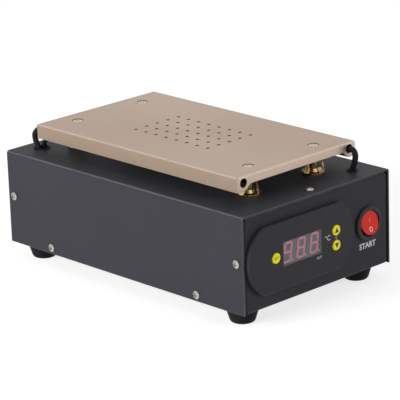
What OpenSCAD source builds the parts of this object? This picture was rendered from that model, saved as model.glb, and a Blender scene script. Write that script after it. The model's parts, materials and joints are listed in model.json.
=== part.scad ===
// Hot plate screen separator: a heated suction plate on four stand-offs over a sheet steel case.
// Frame: origin on the ground under the middle of the case, +Z up, front panel facing -Y.

/* [Case] */
// Width of the case across its front
case_w = 138; // [136:1:170]
// Length of the case from front to back
case_l = 230; // [226:1:290]
// Height of the case without its feet
case_h = 66; // [64:1:90]
// Thickness of the sheet steel
sheet_t = 1.2; // [1:0.1:1.5]
// Outer radius of the folds in the sheet
bend_r = 2; // [1.8:0.1:2.6]
// Height of a rubber foot
foot_h = 11; // [8:0.5:16]
// Diameter of a foot where it meets the case
foot_top_d = 23; // [19:0.5:25]
// Diameter of a foot on the ground
foot_low_d = 16; // [14:0.5:18]
// Distance from a foot's centre to the sides of the case
foot_inset = 15; // [14:0.5:20]
// Distance from a foot's centre to the ends of the case
foot_end_inset = 17; // [14:0.5:20]

/* [Heating plate] */
// Width of the heating plate
plate_w = 110; // [104:1:120]
// Length of the heating plate
plate_l = 195; // [188:1:205]
// Thickness of the slab between the rails
slab_t = 6; // [5.5:0.1:8]
// Radius of the rounded rail along each long edge
rail_r = 5.6; // [5.2:0.1:6.5]
// Depth of a heater bore's centre under the working face
bore_drop = 4.5; // [4.2:0.1:5.2]
// Diameter of a cartridge heater
heater_d = 6; // [5:0.1:6.2]
// Distance from the case to the underside of the slab
stand_h = 13.1; // [12.5:0.1:18]
// Spacing of the suction holes
hole_pitch = 10; // [8:0.5:11]
// Diameter of a suction hole
hole_d = 2.6; // [1.5:0.1:3]
// Suction holes across the plate
hole_cols = 5; // [3:1:5]
// Suction holes along the plate
hole_rows = 8; // [4:1:8]
// Distance between the plate's screws across the plate
stud_gap_x = 61; // [60:1:70]
// Distance from a plate screw to the end of the plate
stud_end = 14.5; // [12:0.5:18]

/* [Temperature controller] */
// Height of the raised controller panel
ctrl_h = 45.6; // [44:0.2:50]
// Radius of the controller panel's rounded ends
ctrl_end_r = 26.2; // [25.6:0.1:28]
// How far the controller panel stands out
ctrl_proud = 3.5; // [3.2:0.1:5]
// Gap from the controller panel to the left side of the case
ctrl_margin = 2.3; // [2:0.1:3]
// Width of the display window
window_w = 36.2; // [34:0.2:37]
// Height of the display window
window_h = 16.6; // [16:0.2:18]
// Height of a digit
digit_h = 14.2; // [12:0.2:14.6]
// Diameter of a push button
button_d = 7; // [5:0.1:8]
// Travel of a push button
button_travel = 0.5; // [0.3:0.1:0.6]

/* [Power switch] */
// Outer diameter of the switch's bezel
switch_d = 24; // [23:0.5:26]
// Diameter of the switch's barrel behind the panel
barrel_d = 19.8; // [19.6:0.1:20.6]
// Diameter of the rocker
rocker_d = 16.2; // [15:0.1:17]
// Angle between the rocker's two positions
rocker_throw = 20; // [12:1:20]
// Distance from the switch's centre to the right side of the case
switch_inset = 20.8; // [19:0.2:22]
// Gap from the controller panel to the switch's bezel
switch_gap = 4.9; // [4:0.1:8]

/* [Leads and hose] */
// Diameter of a sleeved heater lead
lead_d = 3.6; // [3:0.1:3.8]
// Diameter of the sensor lead
sensor_lead_d = 3.2; // [2.6:0.1:3.4]
// Outer diameter of the vacuum hose
hose_d = 6; // [5.4:0.1:7]
// Bore of the rear grommet, which takes two leads
grommet_bore = 8.8; // [8.6:0.1:10]
// Bore of the front grommet, which takes one lead
front_grommet_bore = 4.8; // [4.6:0.1:6]

/* [Vacuum pump] */
// Diameter of the pump's motor
motor_d = 28; // [24:0.5:29]
// Length of the pump's motor
motor_l = 40; // [34:1:46]
// Offset of the eccentric from the shaft
pump_throw = 1.5; // [1:0.1:1.8]

/* [Hidden] */
$fn = 48;

// Clearances shared by every piece
overrun = 1;
seam = 0.3;
fit = 0.3;
thread_fit = 0.05;
slip_fit = 0.15;

// Levels of the stack, from the ground up
case_z = foot_h;
floor_z = case_z + sheet_t;
top_z = case_z + case_h;
ceiling_z = top_z - sheet_t;
slab_z = top_z + stand_h;
plate_z = slab_z + slab_t;
bore_z = plate_z - bore_drop;

// Tray that carries the front and rear panels
panel_inset = 0.4;
panel_y = -case_l / 2 + panel_inset;
panel_back_y = panel_y + sheet_t;
tray_w = case_w - 2 * (sheet_t + seam);
tray_h = case_h - sheet_t - seam;
corner_relief = 2.5;
flange_d = 12;
floor_flange_h = 10;
flange_gap = 2;
return_w = 70;
return_lip = 4;

// Screws that hold the cover
m3_d = 3;
m3_head_d = 5.6;
m3_head_h = 1.9;
m3_hole_d = 3.4;
m3_tap_d = m3_d + 2 * thread_fit;
m3_nut_w = 5.5;
m3_nut_h = 2.4;
head_edge_share = 0.42;
recess_depth_share = 0.6;
cover_screw_l = 6;
side_screw_low = 4.5;
side_screw_mid = 34;
side_screw_end = 6;
side_screw_along = 43.4;
top_screw_end = 7;
recess_w = 0.8;
recess_share = 0.62;

// Feet
foot_edge_r = 2.5;
foot_hole_d = 4.4;
foot_pocket_d = 9;
foot_pocket_h = 5;
m4_d = 4;
m4_hole_d = 4.4;
m4_head_d = 7.6;
m4_head_h = 2.4;
m4_tap_d = m4_d + 2 * thread_fit;
foot_screw_l = 12;
nut_w = 7;
nut_h = 3.2;
washer_d = 9;
washer_t = 0.8;
foot_x = case_w / 2 - foot_inset;
foot_y = case_l / 2 - foot_end_inset;

// Heating plate
edge_chamfer = 0.5;
rail_fillet_r = 3;
rail_step = 0.1;
fillet_bite = 0.01;
heater_bore_d = heater_d + 2 * slip_fit;
bore_x = plate_w / 2 - rail_r;
stud_x = stud_gap_x / 2;
stud_y = plate_l / 2 - stud_end;
csk_rim_d = 8.2;
csk_head_d = 7.4;
csk_sink = (csk_rim_d - csk_head_d) / 2;
plate_screw_l = 25;
lead_recess = 6;
blind_recess = 9;

// Tee nuts under the plate
tee_flange_d = 16;
tee_flange_t = 1.2;
tee_barrel_d = 6;
tee_h = 9;
tee_collar_d = 7.6;
tee_collar_h = 2;
prong_h = 8;
prong_w = 3.6;
prong_lean = 14;
prong_count = 3;
prong_t = 1;
prong_point = 5;
spacer_d = 9;

// Grommets that take the leads through the cover
grommet_wall = 0.7;
grommet_rim = 0.8;
grommet_cap = 0.7;
grommet_inset = 0.5;
grommet_x = bore_x - grommet_inset;
grommet_end = 14.2;
grommet_y = case_l / 2 - grommet_end;
front_grommet_end = 15;

// Suction box under the slab
suction_margin = 9;
suction_wall = 2.5;
suction_floor = 2;
suction_h = 7;
gasket_t = 1;
suction_boss_d = 7;
suction_w = (hole_cols - 1) * hole_pitch + 2 * suction_margin;
suction_l = (hole_rows - 1) * hole_pitch + 2 * suction_margin;
suction_z = slab_z - gasket_t - suction_h;
suction_screw_x = suction_w / 2 - suction_boss_d / 2;
suction_screw_y = suction_l / 2 - suction_boss_d / 2;
suction_tap_depth = 4;
barb_hex = 10;
barb_hex_h = 2.6;
barb_neck_d = 4.4;
barb_bore_d = 2.6;
barb_drop = 17;
barb_tip_z = top_z - barb_drop;
barb_hole_d = 14;
barb_thread_d = 7;
barb_ridge = 0.5;
barb_ridge_h = 2.6;
barb_ridges = 3;

// Sensor clipped under the slab
sensor_d = 4;
sensor_l = 14;
sensor_x = -39.6;
sensor_y = 74;
clip_t = 0.8;
clip_w = 6;
clip_tail = 9;
clip_screw_end = 3.6;
clip_screw_x = sensor_x + sensor_d / 2 + clip_tail - clip_screw_end;

// Controller on the front panel
ctrl_corner_r = 6;
ctrl_wall = 1.8;
ctrl_edge = 0.7;
ctrl_w = case_w - ctrl_margin - switch_gap - switch_d / 2 - switch_inset;
ctrl_x = -case_w / 2 + ctrl_margin + ctrl_w / 2;
ctrl_z = case_z + case_h / 2;
cutout_r = 3;
window_rise = 0.6;
pane_t = 1.2;
module_w = 37.8;
module_h = 19;
pane_sink = 0.3;
board_h = 31;
board_t = 1.6;
board_edge = 1.6;
board_back = 6.5;
post_d = 5;
post_share = [0.44, 0.43];
stake_d = 2.4;
set_button_gap = 1.9;
arrow_button_share = 0.43;
arrow_button_gap = 10.2;
arrow_button_drop = 0.6;
button_proud = 0.6;
button_stem_d = 3.2;
button_flange_t = 0.7;
button_flange_w = 0.5;
button_stem_bite = 1;
tact_w = 6;
tact_h = 3.6;
tact_hole_depth = button_stem_bite + button_travel + fit;
set_button_x = -(module_w / 2 + set_button_gap + button_flange_w + button_d / 2);
arrow_button_x = window_w / 2 + arrow_button_share * (ctrl_w - window_w) / 2;
board_w = 2 * (arrow_button_x + tact_w / 2 + board_edge);
cutout_gap = [4, 3];
cutout_w = board_w + cutout_gap[0];
cutout_h = board_h + cutout_gap[1];
lamp_d = 1.6;
hook_w = 6;
hook_t = 1.6;
hook_reach = 1.2;
hook_x = 22;
hook_l = 3;
segment_t = 0.2;
segment_w = 1.7;
segment_gap = 0.35;
digit_w = 7.8;
digit_pitch = 12.2;
digit_lean = 8;
point_d = 1.7;
point_gap = 1.1;
ctrl_skin = 1.8;
ctrl_y = panel_y - ctrl_proud;
ctrl_skin_y = ctrl_y + ctrl_skin;
board_y = panel_y + board_back;

// Power switch
switch_rim_t = 2;
switch_rim_chamfer = 0.8;
switch_opening = 2;
switch_depth = 14;
pivot_back = 1;
rocker_tip = 3.5;
rocker_valley = 2.7;
rocker_shoulder = 2.2;
rocker_core_d = 13.6;
rocker_core_back = 2.5;
barrel_wall = 1.2;
pivot_pin_d = 3;
pivot_pin_bite = 0.8;
blade_w = 4.8;
blade_t = 0.8;
blade_l = 8;
blade_gap = 5.4;
wing_w = 5;
wing_reach = 1.1;
wing_l = 7;
switch_cavity = 7;
switch_x = case_w / 2 - switch_inset;
switch_z = case_z + case_h / 2;
pivot_y = panel_y + pivot_back;
rocker_rest = -rocker_throw / 2;

// Mains inlet on the rear panel
inlet_w = 50;
inlet_h = 38;
inlet_flange_t = 2;
inlet_ear_gap = 40;
inlet_body_w = 28;
inlet_body_h = 32;
inlet_body_l = 22;
inlet_corner_r = 3;
socket_w = 24.2;
socket_h = 16.6;
socket_depth = 17;
socket_rise = 5.5;
socket_chamfer = 4;
pin_w = 4;
pin_t = 2;
pin_l = 11.5;
pin_gap = 14;
pin_rise = 2;
tab_l = 8;
drawer_w = 23;
drawer_h = 7.4;
drawer_l = 16;
drawer_drop = 10;
drawer_lip = 1.2;
drawer_lip_t = 1.9;
fuse_d = 5.2;
fuse_l = 20;
drawer_end = 1.4;
inlet_side = 33;
inlet_x = case_w / 2 - inlet_side;
inlet_z = case_z + case_h / 2;
rear_y = case_l / 2 - panel_inset;
inlet_out_y = rear_y + inlet_flange_t;

// Vents in the rear panel
vent_w = 2.4;
vent_h = 14;
vent_pitch = 6;
vent_cols = 9;
vent_rows = 2;
vent_row_gap = 20;
vent_side = 33;
vent_x = -case_w / 2 + vent_side;

// Vacuum pump beside the right wall
pump_wall_gap = 5;
pump_x = case_w / 2 - pump_wall_gap - motor_d / 2;
bush_h = 3;
bracket_t = 1.5;
bracket_w = 20;
motor_fit = 0.1;
motor_edge = 1;
motor_boss_d = 10;
motor_boss_l = 5;
pump_z = floor_z + bush_h + bracket_t + motor_fit + motor_d / 2;
crank_w = 22;
crank_l = 26;
crank_h = 30;
crank_wall = 2;
crank_out = 13;
crank_hole_d = 7;
diaphragm_t = 1.5;
head_t = 9.5;
pump_head_x = pump_x - (crank_w - crank_out);
shaft_d = 3;
shaft_bore_d = shaft_d + 2 * thread_fit;
shaft_deep = 20;
eccentric_d = 8;
eccentric_l = 6;
yoke_wall = 1.4;
shaft_tail = 2;
port_rise = 5.2;
port_l = 9;
port_d = 4.4;
bush_d = 7;
bush_x = 11.5;
bush_y = 15;
bush_cap_t = 1;
bush_neck_d = 5;
bracket_y = crank_l / 2 + motor_l / 2;

// Power supply board beside the left wall
supply_w = 50;
supply_l = 100;
supply_gap = 7;
supply_x = -case_w / 2 + supply_gap;
supply_y = -76;
post_h = 6;
post_hex = 5;
post_inset = 4;
supply_z = floor_z + post_h;
supply_top_z = supply_z + board_t;
terminal_pitch = 7;
terminal_edge = 1.5;
terminal_l = 10;
terminal_h = 12;
terminal_ways = 4;
terminal_hole_d = 2.4;
terminal_hole_l = 6;
terminal_screw_d = 4;
terminal_screw_sink = 1.5;
terminal_shift = 0.5;
terminal_rise = 4.2;
terminal_wire_z = supply_top_z + terminal_rise;
terminal_x = supply_x + supply_w / 2 + terminal_shift;
terminal_w = terminal_ways * terminal_pitch + 2 * terminal_edge;
bulk_inset = 17;
bulk_x = supply_x + bulk_inset;
core_y = -42;
core_size = [28, 16, 26];
coil_size = [22, 36, 20];
coil_r = 4;
sink_y = -6;
sink_size = [28, 20, 22];
sink_base = 4;
fin_t = 1.6;
fin_count = 6;
cap_d = 12;
cap_h = 20;
cap_edge = 1;
cap_inset = 9;
cap_x = supply_x + supply_w - cap_inset;
cap_y = -52;
cap_pitch = 16;
cap_count = 3;

// Routes of the leads and the hose, each point chosen by hand
lead_sides = 8;
hose_sides = 10;
mains_d = 5;
pump_lead_d = 3;
way_x = [for (i = [0:terminal_ways - 1]) terminal_x + (i - (terminal_ways - 1) / 2) * terminal_pitch];
mains_pin_x = inlet_x + pin_gap / 2;
mains_side_gap = 18;
mains_side_x = case_w / 2 - mains_side_gap;
pump_end_y = crank_l / 2 + motor_l + motor_boss_l;
front_lead_path = [
    [bore_x, -91.5, 91.6], [bore_x, -97.5, 91.6], [bore_x, -100.6, 91.5], [bore_x, -102.5, 90],
    [bore_x, -103.1, 87.2], [bore_x, -102.4, 83.6], [bore_x, -101.1, 80], [bore_x, -100.2, 77],
    [bore_x, -99.9, 74], [48, -98, 66], [38, -94, 58], [20, -93, 48], [0, -92, 36],
    [-18, -88, 27], [way_x[3], -82, terminal_wire_z], [way_x[3], -76, terminal_wire_z]];
rear_lead_path = [
    [-bore_x, 91.5, 91.6], [-bore_x, 97.5, 91.6], [-bore_x, 101, 91], [-49.8, 104, 89.2],
    [-50.4, 105.8, 86.3], [-50.8, 105.1, 82.8], [-51.1, 103, 79.6], [-51.1, 101.5, 77],
    [-51.1, 100.8, 74.4], [-51.1, 97, 66], [-51, 84, 48], [-49, 66, 34], [way_x[0], 44, 26],
    [way_x[0], 33, terminal_wire_z], [way_x[0], 24, terminal_wire_z]];
sensor_lead_path = [
    [sensor_x, 81, 88.1], [sensor_x, 85.2, 88.1], [-41, 89.4, 86.4], [-44.2, 92.6, 84.7],
    [-47, 95.3, 84], [-48.5, 97.1, 83], [-48.6, 98.5, 81.1], [-47.7, 99.5, 79],
    [-46.8, 100.2, 77], [-46.4, 100.2, 74.6], [-46, 97, 67], [-43, 84, 50], [-37, 66, 35],
    [way_x[2], 46, 26], [way_x[2], 34, terminal_wire_z], [way_x[2], 24, terminal_wire_z]];
mains_lead_path = [
    [mains_pin_x, 83.6, 47.5], [mains_pin_x, 79.6, 47.5], [mains_pin_x, 75, 48.6],
    [mains_side_x - 7, 62, 53], [mains_side_x - 4, 44, 57], [mains_side_x - 1, 24, 58],
    [mains_side_x, 4, 58], [mains_side_x, -16, 58], [mains_side_x, -36, 57],
    [mains_side_x - 1, -56, 54], [mains_side_x - 2, -74, 48], [switch_x, -84, 44.4],
    [switch_x, -88.6, 44], [switch_x, -92.6, 44]];
pump_lead_path = [
    [pump_x, pump_end_y, pump_z], [pump_x, 61.5, pump_z], [pump_x - 1.4, 66, pump_z], [43, 71, 31],
    [30, 72, 30], [12, 64, 28], [-4, 53, 26], [-18, 43, 24.4], [way_x[3], 34, terminal_wire_z],
    [way_x[3], 24, terminal_wire_z]];
hose_path = [
    [0, 0, 71], [0, 0, 66], [0, 0, 60], [1.8, 0, 50.8], [7, 0, 43], [14.8, 0, 37.8], [24, 0, 36],
    [30, 0, 36]];

// Shapes shared by several pieces
module along_y(run) {
    translate([0, run, 0]) rotate([90, 0, 0]) linear_extrude(run) children();
}

module along_x(run) {
    rotate([90, 0, 90]) linear_extrude(run) children();
}

module rod_y(d, run) {
    rotate([-90, 0, 0]) cylinder(d = d, h = run);
}

module round_rect(w, h, r) {
    square([w - 2 * r, h], center = true);
    square([w, h - 2 * r], center = true);
    for (sx = [-1, 1], sy = [-1, 1]) translate([sx * (w / 2 - r), sy * (h / 2 - r)]) circle(r);
}

module arch(w, h, r) {
    translate([-w / 2, 0]) square([w, h - r]);
    translate([-w / 2 + r, 0]) square([w - 2 * r, h]);
    for (s = [-1, 1]) translate([s * (w / 2 - r), h - r]) circle(r);
}

module hexagon(w, h) {
    cylinder(d = w / cos(30), h = h, $fn = 6);
}

module nut(w, h, d) {
    difference() {
        hexagon(w, h);
        translate([0, 0, -overrun]) cylinder(d = d + 2 * thread_fit, h = h + 2 * overrun);
    }
}

module washer(d, bore, t) {
    difference() {
        cylinder(d = d, h = t);
        translate([0, 0, -overrun]) cylinder(d = bore, h = t + 2 * overrun);
    }
}

module cross_recess(d, depth) {
    for (a = [0, 90]) rotate([0, 0, a]) translate([-d * recess_share / 2, -recess_w / 2, -depth])
        cube([d * recess_share, recess_w, depth + overrun]);
}

module pan_screw(d, head_d, head_h, shank) {
    rise = head_h * (1 - head_edge_share);
    dome_r = (head_d * head_d / 4 + rise * rise) / (2 * rise);
    difference() {
        union() {
            translate([0, 0, -shank]) cylinder(d = d, h = shank + head_h / 2);
            rotate_extrude() intersection() {
                square([head_d / 2, head_h]);
                translate([0, head_h - dome_r]) circle(dome_r);
            }
        }
        translate([0, 0, head_h]) cross_recess(head_d, head_h * recess_depth_share);
    }
}

function unit(v) = v / norm(v);
function tangent(p, i) = unit(p[min(i + 1, len(p) - 1)] - p[max(i - 1, 0)]);
function turned(n, t) = unit(n - (n * t) * t);
function normals(p, n, i = 0) = i == len(p) ? []
    : let (m = turned(n, tangent(p, i))) concat([m], normals(p, m, i + 1));
function ring(c, t, n, r, sides) = let (b = cross(t, n))
    [for (k = [0:sides - 1]) c + r * (cos(360 * k / sides) * n + sin(360 * k / sides) * b)];

module sweep(path, d, sides) {
    bend_normals = normals(path, [1, 0, 0]);
    last = len(path) - 1;
    points = [for (i = [0:last]) each ring(path[i], tangent(path, i), bend_normals[i], d / 2, sides)];
    skin = [for (i = [0:last - 1], k = [0:sides - 1])
        let (a = i * sides + k, b = i * sides + (k + 1) % sides)
        each [[a, a + sides, b + sides], [a, b + sides, b]]];
    first_cap = [for (k = [0:sides - 1]) k];
    last_cap = [for (k = [sides - 1:-1:0]) last * sides + k];
    polyhedron(points = points, faces = concat(skin, [first_cap, last_cap]));
}

// Places that several pieces share
side_screw_spots = [for (sx = [-1, 1], sy = [-1, 1], low = [0, 1]) [
    sx * case_w / 2,
    sy * (case_l / 2 - (low == 1 ? side_screw_along : side_screw_end)),
    case_z + (low == 1 ? side_screw_low : side_screw_mid)]];
top_screw_spots = [for (s = [-1, 1]) [0, s * (case_l / 2 - top_screw_end), top_z]];
foot_spots = [for (sx = [-1, 1], sy = [-1, 1]) [sx * foot_x, sy * foot_y]];
stud_spots = [for (sx = [-1, 1], sy = [-1, 1]) [sx * stud_x, sy * stud_y]];
grommet_spots = [[bore_x, front_grommet_end - case_l / 2], [-grommet_x, grommet_y]];
grommet_bores = [front_grommet_bore, grommet_bore];
suction_spots = [for (sx = [-1, 1], sy = [-1, 1]) [sx * suction_screw_x, sy * suction_screw_y]];
bush_spots = [for (sx = [-1, 1], sy = [-1, 1]) [pump_x + sx * bush_x, bracket_y + sy * bush_y]];
post_spots = [for (px = [post_inset, supply_w - post_inset], py = [post_inset, supply_l - post_inset])
    [supply_x + px, supply_y + py]];
stake_spots = [for (sx = [-1, 1], sz = [-1, 1])
    [ctrl_x + sx * board_w * post_share[0], ctrl_z + sz * board_h * post_share[1]]];
button_spots = [[ctrl_x + set_button_x, ctrl_z],
    [ctrl_x + arrow_button_x, ctrl_z - arrow_button_drop + arrow_button_gap / 2],
    [ctrl_x + arrow_button_x, ctrl_z - arrow_button_drop - arrow_button_gap / 2]];
pin_spots = [[inlet_x - pin_gap / 2, -pin_rise], [inlet_x, pin_rise], [inlet_x + pin_gap / 2, -pin_rise]];

// Case
module cover() {
    color([0.3, 0.3, 0.32]) difference() {
        translate([0, -case_l / 2, case_z]) along_y(case_l) difference() {
            arch(case_w, case_h, bend_r);
            translate([0, -overrun])
                arch(case_w - 2 * sheet_t, case_h - sheet_t + overrun, bend_r - sheet_t);
        }
        translate([0, 0, ceiling_z - overrun]) {
            for (p = stud_spots) translate(p) cylinder(d = m4_hole_d, h = sheet_t + 2 * overrun);
            for (i = [0, 1]) translate(grommet_spots[i])
                cylinder(d = grommet_bores[i] + 2 * grommet_wall, h = sheet_t + 2 * overrun);
            cylinder(d = barb_hole_d, h = sheet_t + 2 * overrun);
            for (p = top_screw_spots) translate([p[0], p[1], 0])
                cylinder(d = m3_hole_d, h = sheet_t + 2 * overrun);
        }
        for (p = side_screw_spots) translate([p[0] - sign(p[0]) * sheet_t / 2, p[1], p[2]])
            rotate([0, 90, 0]) cylinder(d = m3_hole_d, h = sheet_t + 2 * overrun, center = true);
    }
}

module base_tray() {
    run = case_l - 2 * panel_inset;
    color([0.26, 0.26, 0.28]) difference() {
        union() {
            translate([-tray_w / 2 + bend_r, 0, case_z]) along_x(tray_w - 2 * bend_r) difference() {
                translate([0, tray_h / 2]) round_rect(run, tray_h, bend_r);
                translate([0, tray_h / 2])
                    round_rect(run - 2 * sheet_t, tray_h - 2 * sheet_t, bend_r - sheet_t);
                translate([-run / 2 + flange_d, tray_h - sheet_t - fit])
                    square([run - 2 * flange_d, sheet_t + fit + overrun]);
            }
            translate([0, 0, case_z + corner_relief])
                linear_extrude(tray_h - 2 * corner_relief) difference() {
                round_rect(tray_w, run, bend_r);
                round_rect(tray_w - 2 * sheet_t, run - 2 * sheet_t, bend_r - sheet_t);
                square([tray_w + 2 * overrun, run - 2 * flange_d], center = true);
            }
            translate([0, -run / 2 + flange_d + flange_gap, case_z])
                along_y(run - 2 * (flange_d + flange_gap)) difference() {
                    translate([0, floor_flange_h]) mirror([0, 1]) arch(tray_w, floor_flange_h, bend_r);
                    translate([0, floor_flange_h + overrun]) mirror([0, 1])
                        arch(tray_w - 2 * sheet_t, floor_flange_h + overrun - sheet_t, bend_r - sheet_t);
                }
        }
        for (sx = [-1, 1], sy = [-1, 1])
            translate([sx * (return_w + tray_w) / 2, sy * (run / 2 - return_lip - flange_d / 2),
                case_z + tray_h - sheet_t])
                cube([tray_w, flange_d, 2 * (sheet_t + fit)], center = true);
        translate([ctrl_x, panel_y - overrun, ctrl_z]) along_y(sheet_t + 2 * overrun)
            round_rect(cutout_w, cutout_h, cutout_r);
        translate([switch_x, panel_y - overrun, switch_z])
            rod_y(barrel_d + 2 * slip_fit, sheet_t + 2 * overrun);
        translate([0, rear_y - sheet_t - overrun, 0]) {
            translate([inlet_x, 0, inlet_z]) along_y(sheet_t + 2 * overrun)
                round_rect(inlet_body_w + 2 * fit, inlet_body_h + 2 * fit, inlet_corner_r);
            for (s = [-1, 1]) translate([inlet_x + s * inlet_ear_gap / 2, 0, inlet_z])
                rod_y(m3_hole_d, sheet_t + 2 * overrun);
            for (i = [0:vent_cols - 1], j = [0:vent_rows - 1])
                translate([vent_x + (i - (vent_cols - 1) / 2) * vent_pitch, 0,
                    case_z + case_h / 2 + (j - (vent_rows - 1) / 2) * vent_row_gap])
                    along_y(sheet_t + 2 * overrun) slot(vent_w, vent_h);
        }
        translate([0, 0, case_z - overrun]) {
            for (p = foot_spots) translate(p) cylinder(d = foot_hole_d, h = sheet_t + 2 * overrun);
            for (p = concat(bush_spots, post_spots)) translate(p)
                cylinder(d = m3_tap_d, h = sheet_t + 2 * overrun);
        }
        for (p = side_screw_spots) translate([p[0] - sign(p[0]) * (seam + 3 * sheet_t / 2), p[1], p[2]])
            rotate([0, 90, 0]) cylinder(d = m3_tap_d, h = sheet_t + overrun, center = true);
        for (p = top_screw_spots) translate([p[0], p[1], case_z + tray_h - sheet_t - overrun])
            cylinder(d = m3_tap_d, h = sheet_t + 2 * overrun);
    }
}

module slot(w, h) {
    square([w, h - w], center = true);
    for (s = [-1, 1]) translate([0, s * (h - w) / 2]) circle(d = w);
}

module foot(spot) {
    side_lean = atan((foot_top_d - foot_low_d) / 2 / foot_h);
    edge_x = foot_low_d / 2 + foot_edge_r * tan(side_lean) - foot_edge_r / cos(side_lean);
    color([0.09, 0.09, 0.1]) translate([spot[0], spot[1], 0]) difference() {
        rotate_extrude() {
            polygon([[0, 0], [edge_x, 0],
                [edge_x + foot_edge_r * cos(side_lean), foot_edge_r * (1 - sin(side_lean))],
                [foot_top_d / 2, foot_h], [0, foot_h]]);
            translate([edge_x, foot_edge_r]) circle(foot_edge_r);
        }
        translate([0, 0, -overrun]) cylinder(d = foot_pocket_d, h = foot_pocket_h + overrun);
        cylinder(d = foot_hole_d, h = foot_h + overrun);
    }
}

module foot_front_left() {
    foot([-foot_x, -foot_y]);
}

module foot_front_right() {
    foot([foot_x, -foot_y]);
}

module foot_rear_left() {
    foot([-foot_x, foot_y]);
}

module foot_rear_right() {
    foot([foot_x, foot_y]);
}

module foot_screws() {
    color([0.7, 0.7, 0.68]) for (p = foot_spots) translate([p[0], p[1], 0]) {
        translate([0, 0, foot_pocket_h]) rotate([180, 0, 0])
            pan_screw(m4_d, m4_head_d, m4_head_h, foot_screw_l);
        translate([0, 0, floor_z]) washer(washer_d, m4_hole_d, washer_t);
        translate([0, 0, floor_z + washer_t]) nut(nut_w, nut_h, m4_d);
    }
}

module cover_screws() {
    color([0.75, 0.75, 0.73]) {
        for (p = side_screw_spots) translate(p) rotate([0, sign(p[0]) * 90, 0])
            pan_screw(m3_d, m3_head_d, m3_head_h, cover_screw_l);
        for (p = top_screw_spots) translate(p) pan_screw(m3_d, m3_head_d, m3_head_h, cover_screw_l);
    }
}

// Heating plate and its stand-offs
module chamfered_block(w, low, high, edge) {
    polygon([[-w / 2, low], [w / 2, low], [w / 2, high - edge], [w / 2 - edge, high],
        [-w / 2 + edge, high], [-w / 2, high - edge]]);
}

module plate_section() {
    rail_z = bore_z - rail_r;
    rail_round = rail_r - rail_step;
    fillet_reach = sqrt(pow(rail_round + rail_fillet_r, 2) - pow(bore_z - slab_z + rail_fillet_r, 2));
    inner_x = bore_x - fillet_reach;
    fillet_z = slab_z - rail_fillet_r;
    difference() {
        union() {
            polygon([[-plate_w / 2, rail_z], [-bore_x, rail_z], [-bore_x, bore_z], [bore_x, bore_z],
                [bore_x, rail_z], [plate_w / 2, rail_z], [plate_w / 2, plate_z - edge_chamfer],
                [plate_w / 2 - edge_chamfer, plate_z], [-plate_w / 2 + edge_chamfer, plate_z],
                [-plate_w / 2, plate_z - edge_chamfer]]);
            polygon([[-bore_x, bore_z + edge_chamfer], [-bore_x, bore_z], [-inner_x, fillet_z],
                [-inner_x, slab_z], [inner_x, slab_z], [inner_x, fillet_z], [bore_x, bore_z],
                [bore_x, bore_z + edge_chamfer]]);
            for (s = [-1, 1]) translate([s * bore_x, bore_z]) circle(rail_round);
        }
        for (s = [-1, 1]) translate([s * inner_x, fillet_z]) circle(rail_fillet_r + fillet_bite);
    }
}

module heating_plate() {
    color([0.74, 0.66, 0.58]) difference() {
        intersection() {
            translate([0, -plate_l / 2, 0]) along_y(plate_l) plate_section();
            translate([-plate_w / 2 - overrun, 0, 0]) along_x(plate_w + 2 * overrun)
                chamfered_block(plate_l, top_z, plate_z, edge_chamfer);
        }
        for (s = [-1, 1]) translate([s * bore_x, -plate_l / 2 - overrun, bore_z])
            rod_y(heater_bore_d, plate_l + 2 * overrun);
        for (i = [0:hole_cols - 1], j = [0:hole_rows - 1])
            translate([(i - (hole_cols - 1) / 2) * hole_pitch, (j - (hole_rows - 1) / 2) * hole_pitch,
                slab_z - overrun])
                cylinder(d = hole_d, h = slab_t + 2 * overrun, $fn = 24);
        for (p = stud_spots) translate([p[0], p[1], slab_z]) {
            translate([0, 0, -overrun]) cylinder(d = m4_hole_d, h = slab_t + 2 * overrun);
            translate([0, 0, slab_t - (csk_rim_d - m4_hole_d) / 2])
                cylinder(d1 = m4_hole_d, d2 = csk_rim_d, h = (csk_rim_d - m4_hole_d) / 2);
        }
        for (p = suction_spots) translate([p[0], p[1], slab_z - overrun])
            cylinder(d = m3_tap_d, h = suction_tap_depth + overrun);
        translate([clip_screw_x, sensor_y, slab_z - overrun])
            cylinder(d = m3_tap_d, h = suction_tap_depth + overrun);
    }
}

module plate_screws() {
    head_depth = (csk_head_d - m4_d) / 2;
    color([0.78, 0.78, 0.76]) for (p = stud_spots)
        translate([p[0], p[1], plate_z - csk_sink]) difference() {
            union() {
                translate([0, 0, -head_depth]) cylinder(d1 = m4_d, d2 = csk_head_d, h = head_depth);
                translate([0, 0, -plate_screw_l]) cylinder(d = m4_d, h = plate_screw_l);
            }
            cross_recess(csk_head_d, head_depth);
        }
}

module tee_nut() {
    root_r = tee_flange_d / 2 - prong_t;
    difference() {
        union() {
            difference() {
                cylinder(d = tee_flange_d, h = tee_flange_t);
                for (i = [0:prong_count - 1]) rotate([0, 0, (i + 0.5) * 360 / prong_count])
                    translate([root_r, -prong_w, -overrun])
                        cube([tee_flange_d, 2 * prong_w, tee_flange_t + 2 * overrun]);
            }
            cylinder(d = tee_barrel_d, h = tee_h);
            translate([0, 0, tee_flange_t]) cylinder(d1 = tee_collar_d, d2 = tee_barrel_d, h = tee_collar_h);
            for (i = [0:prong_count - 1]) rotate([0, 0, (i + 0.5) * 360 / prong_count])
                translate([root_r - prong_t / 2, 0, tee_flange_t / 2]) rotate([0, -prong_lean, 0])
                    along_x(prong_t) polygon([[-prong_w / 2, 0], [prong_w / 2, 0],
                        [prong_w / 2, prong_h - prong_point], [0, prong_h],
                        [-prong_w / 2, prong_h - prong_point]]);
        }
        translate([0, 0, -overrun]) cylinder(d = m4_tap_d, h = tee_h + 2 * overrun);
    }
}

module tee_nuts() {
    color([0.8, 0.7, 0.3]) for (p = stud_spots) translate([p[0], p[1], top_z]) tee_nut();
}

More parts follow.
